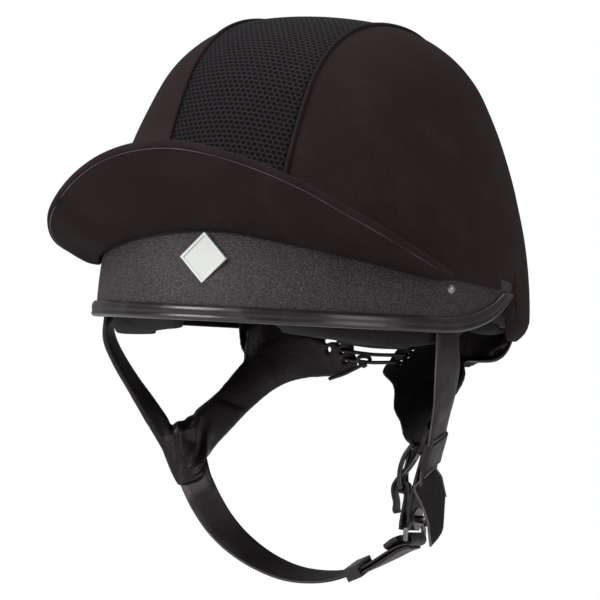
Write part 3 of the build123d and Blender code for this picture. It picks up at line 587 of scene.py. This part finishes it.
# material, smooth shading and a rounded edge on a shown CAD node
def dressNode(name, material, bevel=0.0):
    piece = nodes[name]
    piece.data.materials.clear()
    piece.data.materials.append(material)
    if bevel:
        edge = piece.modifiers.new("edge", "BEVEL")
        edge.width, edge.segments, edge.limit_method = bevel * mm, 2, "ANGLE"
        edge.angle_limit = math.radians(40)
    bpy.context.view_layer.objects.active = piece
    piece.select_set(True)
    bpy.ops.object.shade_smooth_by_angle(angle=math.radians(35))
    piece.select_set(False)


# crown cover: two cloth panels

cover = {"outset": 1.5, "wall": 1.0, "seamX": 35.3, "hemFold": 0.35, "hemWidth": 6.0,
         "curl": 11.0, "curlDepth": 6.5, "frontTurn": 17.2, "backTurn": 161.0, "earRadius": 107.0,
         "sideColumns": 60, "napeColumns": 49, "rows": 60,
         "drape": 0.35, "ripple": 0.12}


# lean of the dome at the cover's hem
def hemAlpha(turn):
    z = 20.0
    for _ in range(8):
        point = onDome(turn, alphaAtZ(z), 0.0)
        z = 0.5 * z + 0.5 * coverHem(point.x, point.y)
    return alphaAtZ(z)


# lean at which the dome's half width reaches the seam
def seamAlpha(turn):
    return alphaAt(lambda a: cover["seamX"] - profile(a, 0.0)[0] * math.sin(turn))


earTurn = math.acos(-edgeSize["tipY"] / stretch / cover["earRadius"])
sideTurns = list(np.linspace(math.radians(cover["frontTurn"]), earTurn - 0.002, cover["sideColumns"]))
sideTurns += list(np.linspace(earTurn + 0.002, math.radians(cover["backTurn"]), cover["napeColumns"]))


def coverColumn(turn):
    low = hemAlpha(turn)
    high = max(seamAlpha(turn), low + 0.001)
    column = []
    for i in range(cover["rows"]):
        share = (i / (cover["rows"] - 1)) ** 1.3
        alpha = low + (high - low) * share
        rise = profile(alpha, 0.0)[1] - profile(low, 0.0)[1]
        fold = cover["hemFold"] if rise < cover["hemWidth"] else 0.0
        if math.cos(turn) < 0 and rise < cover["curl"]:
            fold -= cover["curlDepth"] * (1.0 - rise / cover["curl"]) ** 2
        place = onDome(turn, alpha, 0.0)
        drape = cover["drape"] * noise.noise(place * 0.022) + cover["ripple"] * noise.noise(place * 0.07)
        column.append(onDome(turn, alpha, cover["outset"] + fold + drape))
    return column


leftColumns = [coverColumn(turn) for turn in sideTurns]
for name, side in (("coverLeft", 1.0), ("coverRight", -1.0)):
    rows = [[Vector((side * p.x, p.y, p.z)) for p in column] for column in leftColumns]
    piece = mended(gridPiece(name, rows))
    thicken(piece, cover["wall"])
    dress(piece, coverCloth, replaced=["crown_cover_left" if side > 0 else "crown_cover_right"])

# mesh panel over the crown, with long rows from brow to nape

knit = {"outset": 1.35, "wall": 0.9, "halfWidth": 34.4, "columns": 34, "rows": 130, "centreZ": 45.0,
        "backY": 125.0}


# point of the dome at this x on a ray that turns from the brow over the crown to the nape
def crownPoint(x, turn, outset):
    direction = (-math.cos(turn), math.sin(turn))
    low, high = 0.0, 180.0
    for _ in range(34):
        reach = (low + high) / 2
        y, z = direction[0] * reach, knit["centreZ"] + direction[1] * reach
        radius = math.hypot(x, y / stretch)
        top = crownCentre[1] + crownRadius + outset
        inside = z < top and radius < profile(alphaAtZ(z, outset), outset)[0]
        low, high = (reach, high) if inside else (low, reach)
    return Vector((x, direction[0] * low, knit["centreZ"] + direction[1] * low))


# start and end of the ray at the hem
def crownTurns(x):
    front = crownPoint(x, 0.02, 0.0)
    start = math.atan2(coverHem(x, front.y) - knit["centreZ"], -front.y)
    return start, math.pi + math.atan2(knit["centreZ"] - edgeSize["napeZ"], knit["backY"])


def crownRow(x, outset, rows):
    start, end = crownTurns(x)
    return [crownPoint(x, start + (end - start) * i / (rows - 1), outset) for i in range(rows)]


half = knit["halfWidth"]
lines = []
for i in range(knit["columns"]):
    lines.append(crownRow(-half + 2 * half * i / (knit["columns"] - 1), knit["outset"], knit["rows"]))
piece = gridPiece("meshPanel", list(zip(*lines)))
thicken(piece, knit["wall"])
dress(piece, knitMesh, replaced=["mesh_panel"])

seam = {"x": 35.2, "outset": 1.9, "radius": 1.15}
for name, side in (("seamLeft", 1.0), ("seamRight", -1.0)):
    line = crownRow(seam["x"], seam["outset"], 120)
    piece = tube(name, [(side * p.x, p.y, p.z) for p in line], seam["radius"])
    dress(piece, coverCloth, replaced=["seam_piping"])
print("cover made")

# peak

peak = {"halfWidth": 108.0, "reach": 176.0, "rise": 89.5, "wall": 3.4, "rootX": 99.0,
        "stitch": 3.4, "stitchRadius": 0.28, "binding": 0.35, "roundEdge": 1.7, "sag": 1.6,
        "columns": 150, "rows": 30}
peakRootShares = [0.0, 0.222, 0.424, 0.606, 0.758, 0.879, 0.955, 0.985, 1.0]
peakEdgeShares = [(0.0, 1.0, 1.0), (0.213, 0.989, 0.972), (0.407, 0.946, 0.905), (0.602, 0.866, 0.799),
                  (0.769, 0.778, 0.670), (0.898, 0.670, 0.553), (0.975, 0.540, 0.447), (0.985, 0.398, 0.380),
                  (0.953, 0.286, 0.350)]
roots, edges = [], []
for share, (xShare, yShare, zShare) in zip(peakRootShares, peakEdgeShares):
    z = edgeSize["rootFront"] - edgeSize["rootFall"] * share ** 1.6
    radius = profile(alphaAtZ(z, 1.2), 1.2)[0]
    x = peak["rootX"] * share
    roots.append((x, -stretch * math.sqrt(max(radius ** 2 - x ** 2, 0.0)), z))
    edges.append((peak["halfWidth"] * xShare, -peak["reach"] * yShare, peak["rise"] * zShare))
roots = [(-x, y, z) for x, y, z in roots[:0:-1]] + roots
edges = [(-x, y, z) for x, y, z in edges[:0:-1]] + edges
rootLine, edgeLine = spline(roots, peak["columns"]), spline(edges, peak["columns"])
rows, stitchLine = [], []
for i in range(peak["columns"]):
    root, edge = Vector(rootLine[i]), Vector(edgeLine[i])
    after, before = min(i + 1, peak["columns"] - 1), max(i - 1, 0)
    ahead = Vector(rootLine[after] + edgeLine[after] - rootLine[before] - edgeLine[before])
    up = ahead.cross(edge - root).normalized()
    up = up if up.z > 0 else -up
    length = (edge - root).length
    top, low = [], []
    for j in range(peak["rows"]):
        share = math.sin(math.pi / 2 * j / (peak["rows"] - 1))
        fromEdge = length * (1 - share)
        rounded = math.sqrt(max(0.0, 1.0 - max(0.0, 1.0 - fromEdge / peak["roundEdge"]) ** 2))
        dip = 0.3 * math.exp(-((fromEdge - peak["stitch"]) / 0.5) ** 2)
        puff = peak["binding"] * math.exp(-((fromEdge - 1.6) / 1.2) ** 4)
        unevenness = noise.noise((root + edge) * 0.02 + Vector((0.0, 0.0, share)))
        sag = peak["sag"] * math.sin(math.pi * share) - 0.5 * unevenness
        base = root + (edge - root) * share - up * sag
        thick = (peak["wall"] / 2 - dip + puff) * rounded
        top.append(base + up * thick)
        low.append(base - up * thick)
    rows.append(top + low[-2::-1])
    stitchLine.append(edge + (root - edge) * (peak["stitch"] / length) - up * (peak["wall"] / 2 + 0.1))
piece = mended(gridPiece("peak", rows, closed=True))
dress(piece, coverCloth, replaced=["peak_cover", "peak_board"])
# stitch cord under the peak, coloured light as a painted highlight along the stitch line
piece = tube("peakStitchHighlight", [tuple(p) for p in stitchLine[3:-3]], peak["stitchRadius"])
dress(piece, highlightEdgeLeather)
print("peak made")

# rubber trim with a rolled lower lip

trim = {"backY": 19.0, "earRadius": 107.0, "steps": 260, "hemGap": 0.6, "tucked": 0.7}
trimSection = [(-4.2, 7.4), (-4.3, 2.0), (-3.9, 0.4), (-2.8, -0.3), (-1.0, -0.35), (0.8, -0.3), (1.8, 0.1),
               (2.35, 0.9), (2.4, 1.6), (2.12, 2.3), (2.1, 3.0), (2.3, 4.0), (2.35, 5.2), (2.1, 6.4),
               (1.6, 7.3), (0.9, 7.9), (0.3, 8.0), (0.05, 7.5), (0.02, 2.0), (-3.15, 2.0), (-3.15, 7.4),
               (-3.6, 7.9)]
endTurn = math.acos(-trim["backY"] / stretch / trim["earRadius"])
rows = []
for i in range(trim["steps"]):
    turn = -endTurn + 2 * endTurn * i / (trim["steps"] - 1)
    middle = onDome(turn, 0.0, 0.0)
    base = rimZ(middle.y)
    hem = coverHem(middle.x, middle.y) - trim["hemGap"]
    row = []
    for outset, z in trimSection:
        height = base + z
        if outset > -0.1 and height > hem:
            height = max(hem, base - 0.2)
            outset = min(outset, trim["tucked"])
        row.append(onDome(turn, alphaAtZ(height), outset))
    rows.append(row)
piece = mended(gridPiece("rimTrim", rows, closed=True))
dress(piece, rubber, replaced=["rim_trim"])
print("trim made")

# textured shell; its nape edge stays above the cover's hem

shellSize = {"napeZ": 9.0, "napeY": 19.3}
shell = linked("texturedShell", nodes["outer_shell"].data.copy())
for vertex in shell.data.vertices:
    if vertex.co.y > shellSize["napeY"] * mm and vertex.co.z < shellSize["napeZ"] * mm:
        vertex.co.z = shellSize["napeZ"] * mm
bm = bmesh.new()
bm.from_mesh(shell.data)
bmesh.ops.dissolve_degenerate(bm, dist=0.01 * mm, edges=bm.edges)
bm.to_mesh(shell.data)
bm.free()
dress(shell, shellTexture, replaced=["outer_shell"])

# comfort pads

padding = {"voxel": 4.0, "pressure": 4.0, "cap": 1.2, "rearLift": 3.5}
for name, source in (("padFront", "headband_front"), ("padLeft", "headband_left"),
                     ("padRight", "headband_right"), ("padRear", "headband_rear"), ("padCrown", "crown_pad")):
    piece = softUnion(name, [source], padding["voxel"], 3)
    if name == "padRear":
        for vertex in piece.data.vertices:
            vertex.co.z += padding["rearLift"] * mm
    inflate(piece, padding["pressure"], padding["cap"])
    dense = piece.modifiers.new("dense", "SUBSURF")
    dense.levels = dense.render_levels = 1
    apply(piece)
    dress(piece, padCloth, replaced=[source])
    print(name, "made")

# leather harness

harness = {"voxel": 0.9, "rounds": 12, "wall": 2.9, "lobeWall": 4.8, "skirtWall": 2.4,
           "tip": (-71.5, -1.0, -87.0), "valley": (-75.8, -6.0, -52.6), "foldReach": 62.0, "foldDepth": 0.75,
           "seamDepth": 1.5}
frontRight = [((-94.6, -44.5, 14.0), (-0.2, 0.97, 0.05), 8.5), ((-95.4, -44.5, 2.0), (-0.2, 0.97, 0.05), 8.5),
              ((-96.8, -43.0, -9.0), (-0.2, 0.97, 0.08), 8.5),
              ((-95.4, -35.5, -20.0), (-0.18, 0.96, 0.2), 8.5),
              ((-90.4, -25.0, -34.0), (-0.13, 0.92, 0.36), 8.3),
              ((-84.8, -17.0, -46.0), (0.03, 0.87, 0.48), 7.8),
              ((-79.8, -10.4, -56.5), (0.24, 0.79, 0.55), 6.8),
              ((-76.2, -6.6, -66.0), (0.5, 0.62, 0.58), 5.0), ((-74.0, -4.0, -76.0), (0.6, 0.6, 0.4), 3.4),
              ((-72.4, -2.0, -83.0), (0.8, 0.5, 0.2), 2.2), ((-71.6, -1.2, -86.5), (0.8, 0.5, 0.2), 1.2)]
frontLeft = [((96.0, -38.5, 14.0), (0.25, 0.97, 0.03), 8.5), ((96.6, -38.5, 2.0), (0.25, 0.97, 0.03), 8.5),
             ((97.0, -38.5, -9.0), (0.25, 0.97, 0.03), 8.5), ((95.2, -33.5, -20.0), (0.28, 0.95, 0.1), 8.5),
             ((90.0, -24.0, -34.0), (0.2, 0.94, 0.25), 8.5),
             ((84.5, -16.5, -46.0), (0.12, 0.92, 0.36), 8.5), ((80.0, -10.5, -56.0), (0.1, 0.92, 0.38), 8.2),
             ((75.4, -5.5, -65.0), (0.1, 0.93, 0.35), 8.0), ((72.2, -1.8, -73.0), (0.08, 0.97, 0.2), 7.8),
             ((71.7, -0.5, -81.0), (0.0, 1.0, 0.0), 7.5)]
rearLobe = [((-71.2, -1.6, -87.0), (-61.8, 1.6, -83.2)), ((-73.2, -4.0, -72.0), (-60.6, 5.5, -78.4)),
            ((-75.4, -5.5, -56.0), (-63.8, 14.0, -71.0)), ((-73.6, 8.0, -50.5), (-66.0, 21.0, -68.5)),
            ((-72.5, 14.0, -48.5), (-67.0, 27.0, -66.0)), ((-71.5, 28.0, -40.5), (-61.0, 50.0, -47.5))]
skirtRight = [((-66.0, 55.0, -20.0), (-66.0, 57.0, -2.0)), ((-57.0, 65.0, -10.0), (-58.0, 68.0, 8.0)),
              ((-38.0, 70.0, -6.0), (-38.0, 73.0, 9.0)), ((-22.0, 70.0, -6.0), (-22.0, 73.0, 9.0))]
skirtLeft = [((50.0, 64.0, -14.0), (52.0, 70.0, 6.0)), ((58.5, 69.0, -17.5), (62.0, 76.0, 6.0)),
             ((67.0, 72.0, -12.0), (72.0, 80.0, 6.0)), ((76.0, 74.5, -5.5), (82.0, 80.0, 6.0))]


# edge lines of a strap from centres, width directions and half widths
def edgesOf(path):
    first, second = [], []
    for i, (centre, width, half) in enumerate(path):
        ahead = (Vector(path[min(i + 1, len(path) - 1)][0]) - Vector(path[max(i - 1, 0)][0])).normalized()
        way = Vector(width) - ahead * Vector(width).dot(ahead)
        way = way.normalized() * half
        first.append(tuple(Vector(centre) - way))
        second.append(tuple(Vector(centre) + way))
    return first, second


a, b = edgesOf(frontRight)
parts = [strapPiece("strapRight", a, b, harness["wall"], bulge=0.25),
         strapPiece("lobe", *zip(*rearLobe), harness["lobeWall"], bulge=0.2),
         strapPiece("skirt", *zip(*skirtRight), harness["skirtWall"])]
piece = softUnion("harnessRight", ["nape_panel_right"], harness["voxel"], harness["rounds"], parts)
tip, valley = Vector(harness["tip"]), Vector(harness["valley"])
run = valley - tip
for vertex in piece.data.vertices:
    place = vertex.co / mm
    out = place - tip
    reach = out.length
    if reach > harness["foldReach"]:
        continue
    share = out.dot(run) / run.length_squared
    aside = (out - run * share).length
    ends = min(1.0, max(0.0, (1.15 - share) * 5.0)) * min(1.0, max(0.0, share * 8.0))
    seamLine = math.exp(-(aside / 1.5) ** 2) * ends
    angle = out.angle(run) if reach > 0.5 else 0.0
    fade = math.exp(-((reach - 26.0) / 17.0) ** 2)
    rear = 1.0 if place.y > run.y * share + tip.y else 0.35
    folds = math.sin(angle * 17.0 + 1.4 * noise.noise(place * 0.05)) * fade * min(1.0, angle / 0.2) * rear
    vertex.co += vertex.normal * (folds * harness["foldDepth"] - seamLine * harness["seamDepth"]) * mm
crease(piece, broadCreases)
dress(piece, leather, replaced=["front_strap_right", "joint_cover_right", "nape_panel_right"])

parts = [strapPiece("skirt", *zip(*skirtLeft), harness["skirtWall"])]
piece = softUnion("napePanelLeft", ["nape_panel_left"], harness["voxel"], harness["rounds"], parts)
crease(piece, broadCreases)
dress(piece, leather, replaced=["nape_panel_left"])

binding = {"radius": 0.45, "bulge": (2.3, -0.6, 0.6)}
a, b = edgesOf(frontLeft)
piece = strapPiece("frontStrapLeft", a, b, wall=2.6, groove=1.7, bulge=0.15)
dress(piece, leather, replaced=["front_strap_left"])
# bound edges of the strap: real cords whose light colour is a painted highlight along the edges
for index, line in enumerate((a, b)):
    piece = tube(f"strapBindingHighlight{index}", line, binding["radius"], count=80)
    dress(piece, highlightEdgeLeather)
keeper = [((80.6, -11.2, -54.6), (0.1, 0.92, 0.38), 9.3), ((78.2, -8.4, -59.5), (0.1, 0.92, 0.38), 9.2),
          ((76.0, -6.2, -64.0), (0.1, 0.93, 0.36), 9.0), ((74.0, -3.9, -68.6), (0.1, 0.94, 0.33), 8.7)]
a, b = edgesOf(keeper)
piece = strapPiece("strapKeeper", a, b, wall=4.8, count=30, bulge=0.1)
dress(piece, leather)
# keeper's edge cords, coloured light as a painted highlight
for index, end in ((0, 0), (1, -1)):
    first, last, out = Vector(a[end]), Vector(b[end]), Vector(binding["bulge"])
    line = [first, first * 0.7 + last * 0.3 + out, (first + last) / 2 + out * 1.08,
            first * 0.3 + last * 0.7 + out, last]
    piece = tube(f"keeperEdgeHighlight{index}", [tuple(p) for p in line], binding["radius"], count=30)
    dress(piece, highlightEdgeLeather)
strapEnd = [((71.4, -1.2, -61.0), (-0.1, 1.0, 0.0), 7.6), ((69.0, -1.6, -72.0), (-0.1, 1.0, 0.0), 8.2),
            ((66.8, -2.0, -84.0), (-0.05, 1.0, 0.0), 8.2), ((65.6, -2.0, -94.0), (0.0, 1.0, 0.0), 8.0),
            ((65.4, -2.0, -103.0), (0.0, 1.0, 0.0), 6.4)]
a, b = edgesOf(strapEnd)
piece = strapPiece("strapEnd", a, b, wall=2.2, count=60, groove=1.5)
dress(piece, leather)
print("side straps made")

chape = {"voxel": 0.5, "rounds": 3}
for name, source in (("buckleChape", "buckle_chape"), ("holedStrap", "holed_strap")):
    piece = softUnion(name, [source], chape["voxel"], chape["rounds"])
    crease(piece, fineCreases)
    dress(piece, leather, replaced=[source])

# guard pad: a curved sheet between two outlines, with a binding cord coloured light as a painted highlight

guard = {"wall": 2.6, "columns": 34, "rows": 30, "binding": 0.75, "puff": 0.5, "crease": 0.3,
         "front": (68.5, -9.7), "middle": (75.4, -1.4), "rear": (77.6, 8.5)}
guardTop = [(0.0, -80.0), (0.25, -74.5), (0.5, -69.6), (0.75, -74.5), (1.0, -84.7)]
guardBottom = [(0.0, -82.5), (0.16, -88.0), (0.38, -98.4), (0.5, -110.8), (0.75, -106.6), (0.93, -103.2),
               (1.0, -97.0)]


def between(table, share):
    return float(np.interp(share, *zip(*table)))


# point of the guard's curved sheet; u from its front edge to its rear edge, v from top to bottom
def guardPoint(u, v, shift=0.0):
    weights = (2 * (u - 0.5) * (u - 1.0), -4 * u * (u - 1.0), 2 * u * (u - 0.5))
    corners = (guard["front"], guard["middle"], guard["rear"])
    x, y = (sum(w * corner[k] for w, corner in zip(weights, corners)) for k in (0, 1))
    top, low = between(guardTop, u), between(guardBottom, u)
    return Vector((x + shift * 0.85, y - shift * 0.5, top + (low - top) * v))


rows = []
for j in range(guard["rows"]):
    v = j / (guard["rows"] - 1)
    front, back = [], []
    for i in range(guard["columns"]):
        u = i / (guard["columns"] - 1)
        half = guard["wall"] / 2 * min(1.0, 0.35 + min(u, 1 - u, v, 1 - v) * 9.0)
        puff = guard["puff"] * math.sin(math.pi * u) * math.sin(math.pi * v)
        uneven = guard["crease"] * noise.noise(Vector((u * 3.0, v * 4.0, 1.7)))
        front.append(guardPoint(u, v, half + puff + uneven))
        back.append(guardPoint(u, v, -half))
    rows.append(front + back[::-1])
piece = mended(gridPiece("guardPad", rows, closed=True), ends=True)
dress(piece, padCloth, replaced=["guard_pad"])
# binding cord round the pad; its light colour is a painted highlight along the edge
edge = [guardPoint(u, 1.0, 0.4) for u in (0.5, 0.38, 0.16, 0.0)]
edge += [guardPoint(u, 0.0, 0.4) for u in (0.0, 0.25, 0.5, 0.75, 1.0)]
piece = tube("guardBindingHighlight", [tuple(p) for p in edge], guard["binding"])
dress(piece, highlightEdgeLeather)
print("harness made")

# lace: straight rungs through the holes, a knot and a tail

lace = {"radius": 1.0, "knotRadius": 1.1, "outerY": 72.6}
rungs = [((-16.0, 64.5, -7.0), (27.0, 62.2, -8.5)), ((-14.0, 64.3, -11.5), (25.0, 61.8, -12.5)),
         ((-12.0, 64.1, -16.0), (21.0, 60.8, -16.5))]
for index, (right, left) in enumerate(rungs):
    line = [(right[0], lace["outerY"], right[2]), (right[0] + 0.2, right[1] + 2.0, right[2]),
            (right[0] + 2.5, right[1] - 0.6, right[2]),
            ((right[0] + left[0]) / 2, (right[1] + left[1]) / 2 - 0.8, (right[2] + left[2]) / 2 - 0.8),
            (left[0] - 2.5, left[1] - 0.6, left[2]), (left[0] - 0.2, left[1] + 2.0, left[2]),
            (left[0], lace["outerY"], left[2])]
    piece = tube(f"laceRung{index}", line, lace["radius"], count=60)
    dress(piece, webbing, replaced=["nape_lace"])
knot = []
for t in np.linspace(0, 5.6, 30):
    knot.append((1.0 + 3.0 * math.cos(t), 62.6 + 2.0 * math.sin(2 * t), -16.6 + 2.6 * math.sin(t)))
piece = tube("laceKnot", knot, lace["knotRadius"])
dress(piece, webbing)
tail = [(1.0, 62.9, -18.0), (-5.0, 63.5, -21.0), (-11.0, 64.0, -23.8), (-20.0, 65.0, -26.8)]
piece = tube("laceTail", tail, lace["radius"], count=40)
dress(piece, webbing)

# chin strap: one continuous length from the sewn joint round the link's bar

chin = {"halfWidth": 8.5, "wall": 1.9, "barX": 65.4, "barZ": -107.45, "wrap": 2.6}
chinPath = [((-70.0, 5.5, -71.0), (0.72, 0.42, 0.5)), ((-67.2, 4.0, -77.5), (0.72, 0.42, 0.5)),
            ((-64.0, 1.6, -83.0), (0.72, 0.42, 0.5)), ((-59.5, -0.2, -89.5), (0.7, 0.45, 0.5)),
            ((-55.5, 0.3, -96.0), (0.66, 0.52, 0.48)), ((-48.0, 0.8, -105.5), (0.58, 0.64, 0.48)),
            ((-37.0, 1.0, -115.0), (0.46, 0.74, 0.46)), ((-22.0, 1.0, -123.5), (0.3, 0.82, 0.44)),
            ((-5.0, 1.0, -129.0), (0.14, 0.88, 0.42)), ((12.0, 1.0, -130.0), (0.0, 0.92, 0.36)),
            ((27.0, 1.0, -127.5), (-0.08, 0.96, 0.26)), ((41.0, 0.8, -121.5), (-0.08, 0.98, 0.14)),
            ((53.0, 0.4, -114.8), (-0.04, 1.0, 0.05)), ((60.5, 0.0, -111.4), (0.0, 1.0, 0.0))]
for angle in (-70, -20, 30, 80, 130):
    turn = math.radians(angle)
    place = (chin["barX"] + chin["wrap"] * math.cos(turn), 0.0, chin["barZ"] + chin["wrap"] * math.sin(turn))
    chinPath.append((place, (0.0, 1.0, 0.0)))
a, b = edgesOf([(place, width, chin["halfWidth"]) for place, width in chinPath])
piece = strapPiece("chinStrap", a, b, chin["wall"], count=220, groove=1.6)
piece.data.materials.append(webbing)
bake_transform(piece)
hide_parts("chin_strap", "chin_strap_root")
lower = [((35.6, 1.0, -126.5), (-0.08, 0.98, 0.2), 8.0), ((42.0, 0.9, -123.6), (-0.08, 0.98, 0.14), 8.0),
         ((52.0, 0.5, -118.2), (-0.04, 1.0, 0.05), 8.0), ((60.0, 0.2, -113.6), (0.0, 1.0, 0.0), 8.0),
         ((65.2, 0.0, -111.6), (0.0, 1.0, 0.0), 8.0)]
a, b = edgesOf(lower)
piece = strapPiece("strapFold", a, b, wall=1.9, count=50, groove=1.5)
dress(piece, webbing, body="chin")
loop = [((52.5, 0.4, -112.2), (0.0, 1.0, 0.0), 9.2), ((56.5, 0.2, -109.2), (0.0, 1.0, 0.0), 9.4),
        ((60.0, 0.0, -107.6), (0.0, 1.0, 0.0), 9.0)]
a, b = edgesOf(loop)
piece = strapPiece("strapLoop", a, b, wall=3.2, count=24, bulge=0.4)
dress(piece, webbing, body="chin")
print("chin strap made")

# shown CAD nodes

dressNode("impact_liner", foam)
dressNode("badge_plate", badgeFace, bevel=0.25)
dressNode("badge_pins", badgeFace)
for name in ("front_rivets", "rear_rivets", "rivet_washers"):
    dressNode(name, rivetPaint)
dressNode("strap_link", steel, bevel=0.15)
for name in ("link_stud", "buckle_frame", "buckle_prong"):
    dressNode(name, gunmetal, bevel=0.1)
dressNode("slider", plastic, bevel=0.3)

# stage: floor, world, lamps and camera

stage = {"floorZ": -0.19, "floorSize": 60.0, "floorTone": 0.75, "ambient": 0.22}


# white for camera rays, and the given shader for all other light
def whiteToCamera(tree, shader, kind, output):
    white = shaderNode(tree, kind, s0=(1.0, 1.0, 1.0, 1.0), s1=1.0)
    path = tree.nodes.new("ShaderNodeLightPath")
    mix = tree.nodes.new("ShaderNodeMixShader")
    tree.links.new(path.outputs["Is Camera Ray"], mix.inputs[0])
    tree.links.new(shader.outputs[0], mix.inputs[1])
    tree.links.new(white.outputs[0], mix.inputs[2])
    tree.links.new(mix.outputs[0], tree.nodes[output].inputs[0])


bpy.ops.mesh.primitive_plane_add(size=stage["floorSize"], location=(0, 0, stage["floorZ"]))
floor = bpy.context.object
floor.name = "floor"
material = bpy.data.materials.new("paleFloor")
material.use_nodes = True
tree = material.node_tree
shader = tree.nodes["Principled BSDF"]
shader.inputs["Base Color"].default_value = (*[stage["floorTone"]] * 3, 1.0)
shader.inputs["Roughness"].default_value = 0.9
whiteToCamera(tree, shader, "ShaderNodeEmission", "Material Output")
floor.data.materials.append(material)

world = bpy.data.worlds.new("studio")
bpy.context.scene.world = world
world.use_nodes = True
tree = world.node_tree
soft = tree.nodes["Background"]
soft.inputs[0].default_value = (1.0, 1.0, 1.0, 1.0)
soft.inputs[1].default_value = stage["ambient"]
whiteToCamera(tree, soft, "ShaderNodeBackground", "World Output")


def areaLamp(name, place, aim, size, power):
    lamp = bpy.data.lights.new(name, "AREA")
    lamp.shape, lamp.size, lamp.size_y, lamp.energy = "RECTANGLE", size[0], size[1], power
    made = linked(name, lamp)
    made.location = place
    made.rotation_euler = (Vector(aim) - Vector(place)).to_track_quat("-Z", "Y").to_euler()


areaLamp("keyLamp", place=(-1.0, -1.6, 1.1), aim=(0, 0, 0.02), size=(1.2, 1.0), power=46.0)
areaLamp("fillLamp", place=(1.9, -0.7, 0.5), aim=(0, 0, 0), size=(1.0, 1.4), power=13.0)
areaLamp("topLamp", place=(0.1, 0.4, 1.8), aim=(0, 0, 0.05), size=(1.4, 1.4), power=15.0)

camera = {"azimuth": 26.18, "elevation": -0.38, "roll": 2.88, "distance": 5.0, "pixelsPerMetre": 1916.3,
          "image": 600.0, "origin": (311.7, 326.7), "sensor": 36.0}
azimuth, elevation, roll = (math.radians(camera[key]) for key in ("azimuth", "elevation", "roll"))
back = Vector((math.sin(azimuth) * math.cos(elevation), -math.cos(azimuth) * math.cos(elevation),
               math.sin(elevation)))
level = Vector((math.cos(azimuth), math.sin(azimuth), 0.0))
upright = back.cross(level)
right = level * math.cos(roll) + upright * math.sin(roll)
up = upright * math.cos(roll) - level * math.sin(roll)
shiftX, shiftY = ((place - camera["image"] / 2) / camera["pixelsPerMetre"] for place in camera["origin"])
eye = back * camera["distance"] - right * shiftX + up * shiftY
data = bpy.data.cameras.new("photoCamera")
data.sensor_width = camera["sensor"]
data.lens = camera["pixelsPerMetre"] * camera["distance"] / camera["image"] * camera["sensor"]
data.clip_end = 100.0
view = linked("photoCamera", data)
view.matrix_world = Matrix([(*row, place) for row, place in zip(zip(right, up, back), eye)] + [(0, 0, 0, 1)])
bpy.context.scene.camera = view
bpy.context.scene.view_settings.view_transform = "Standard"
print("stage made")
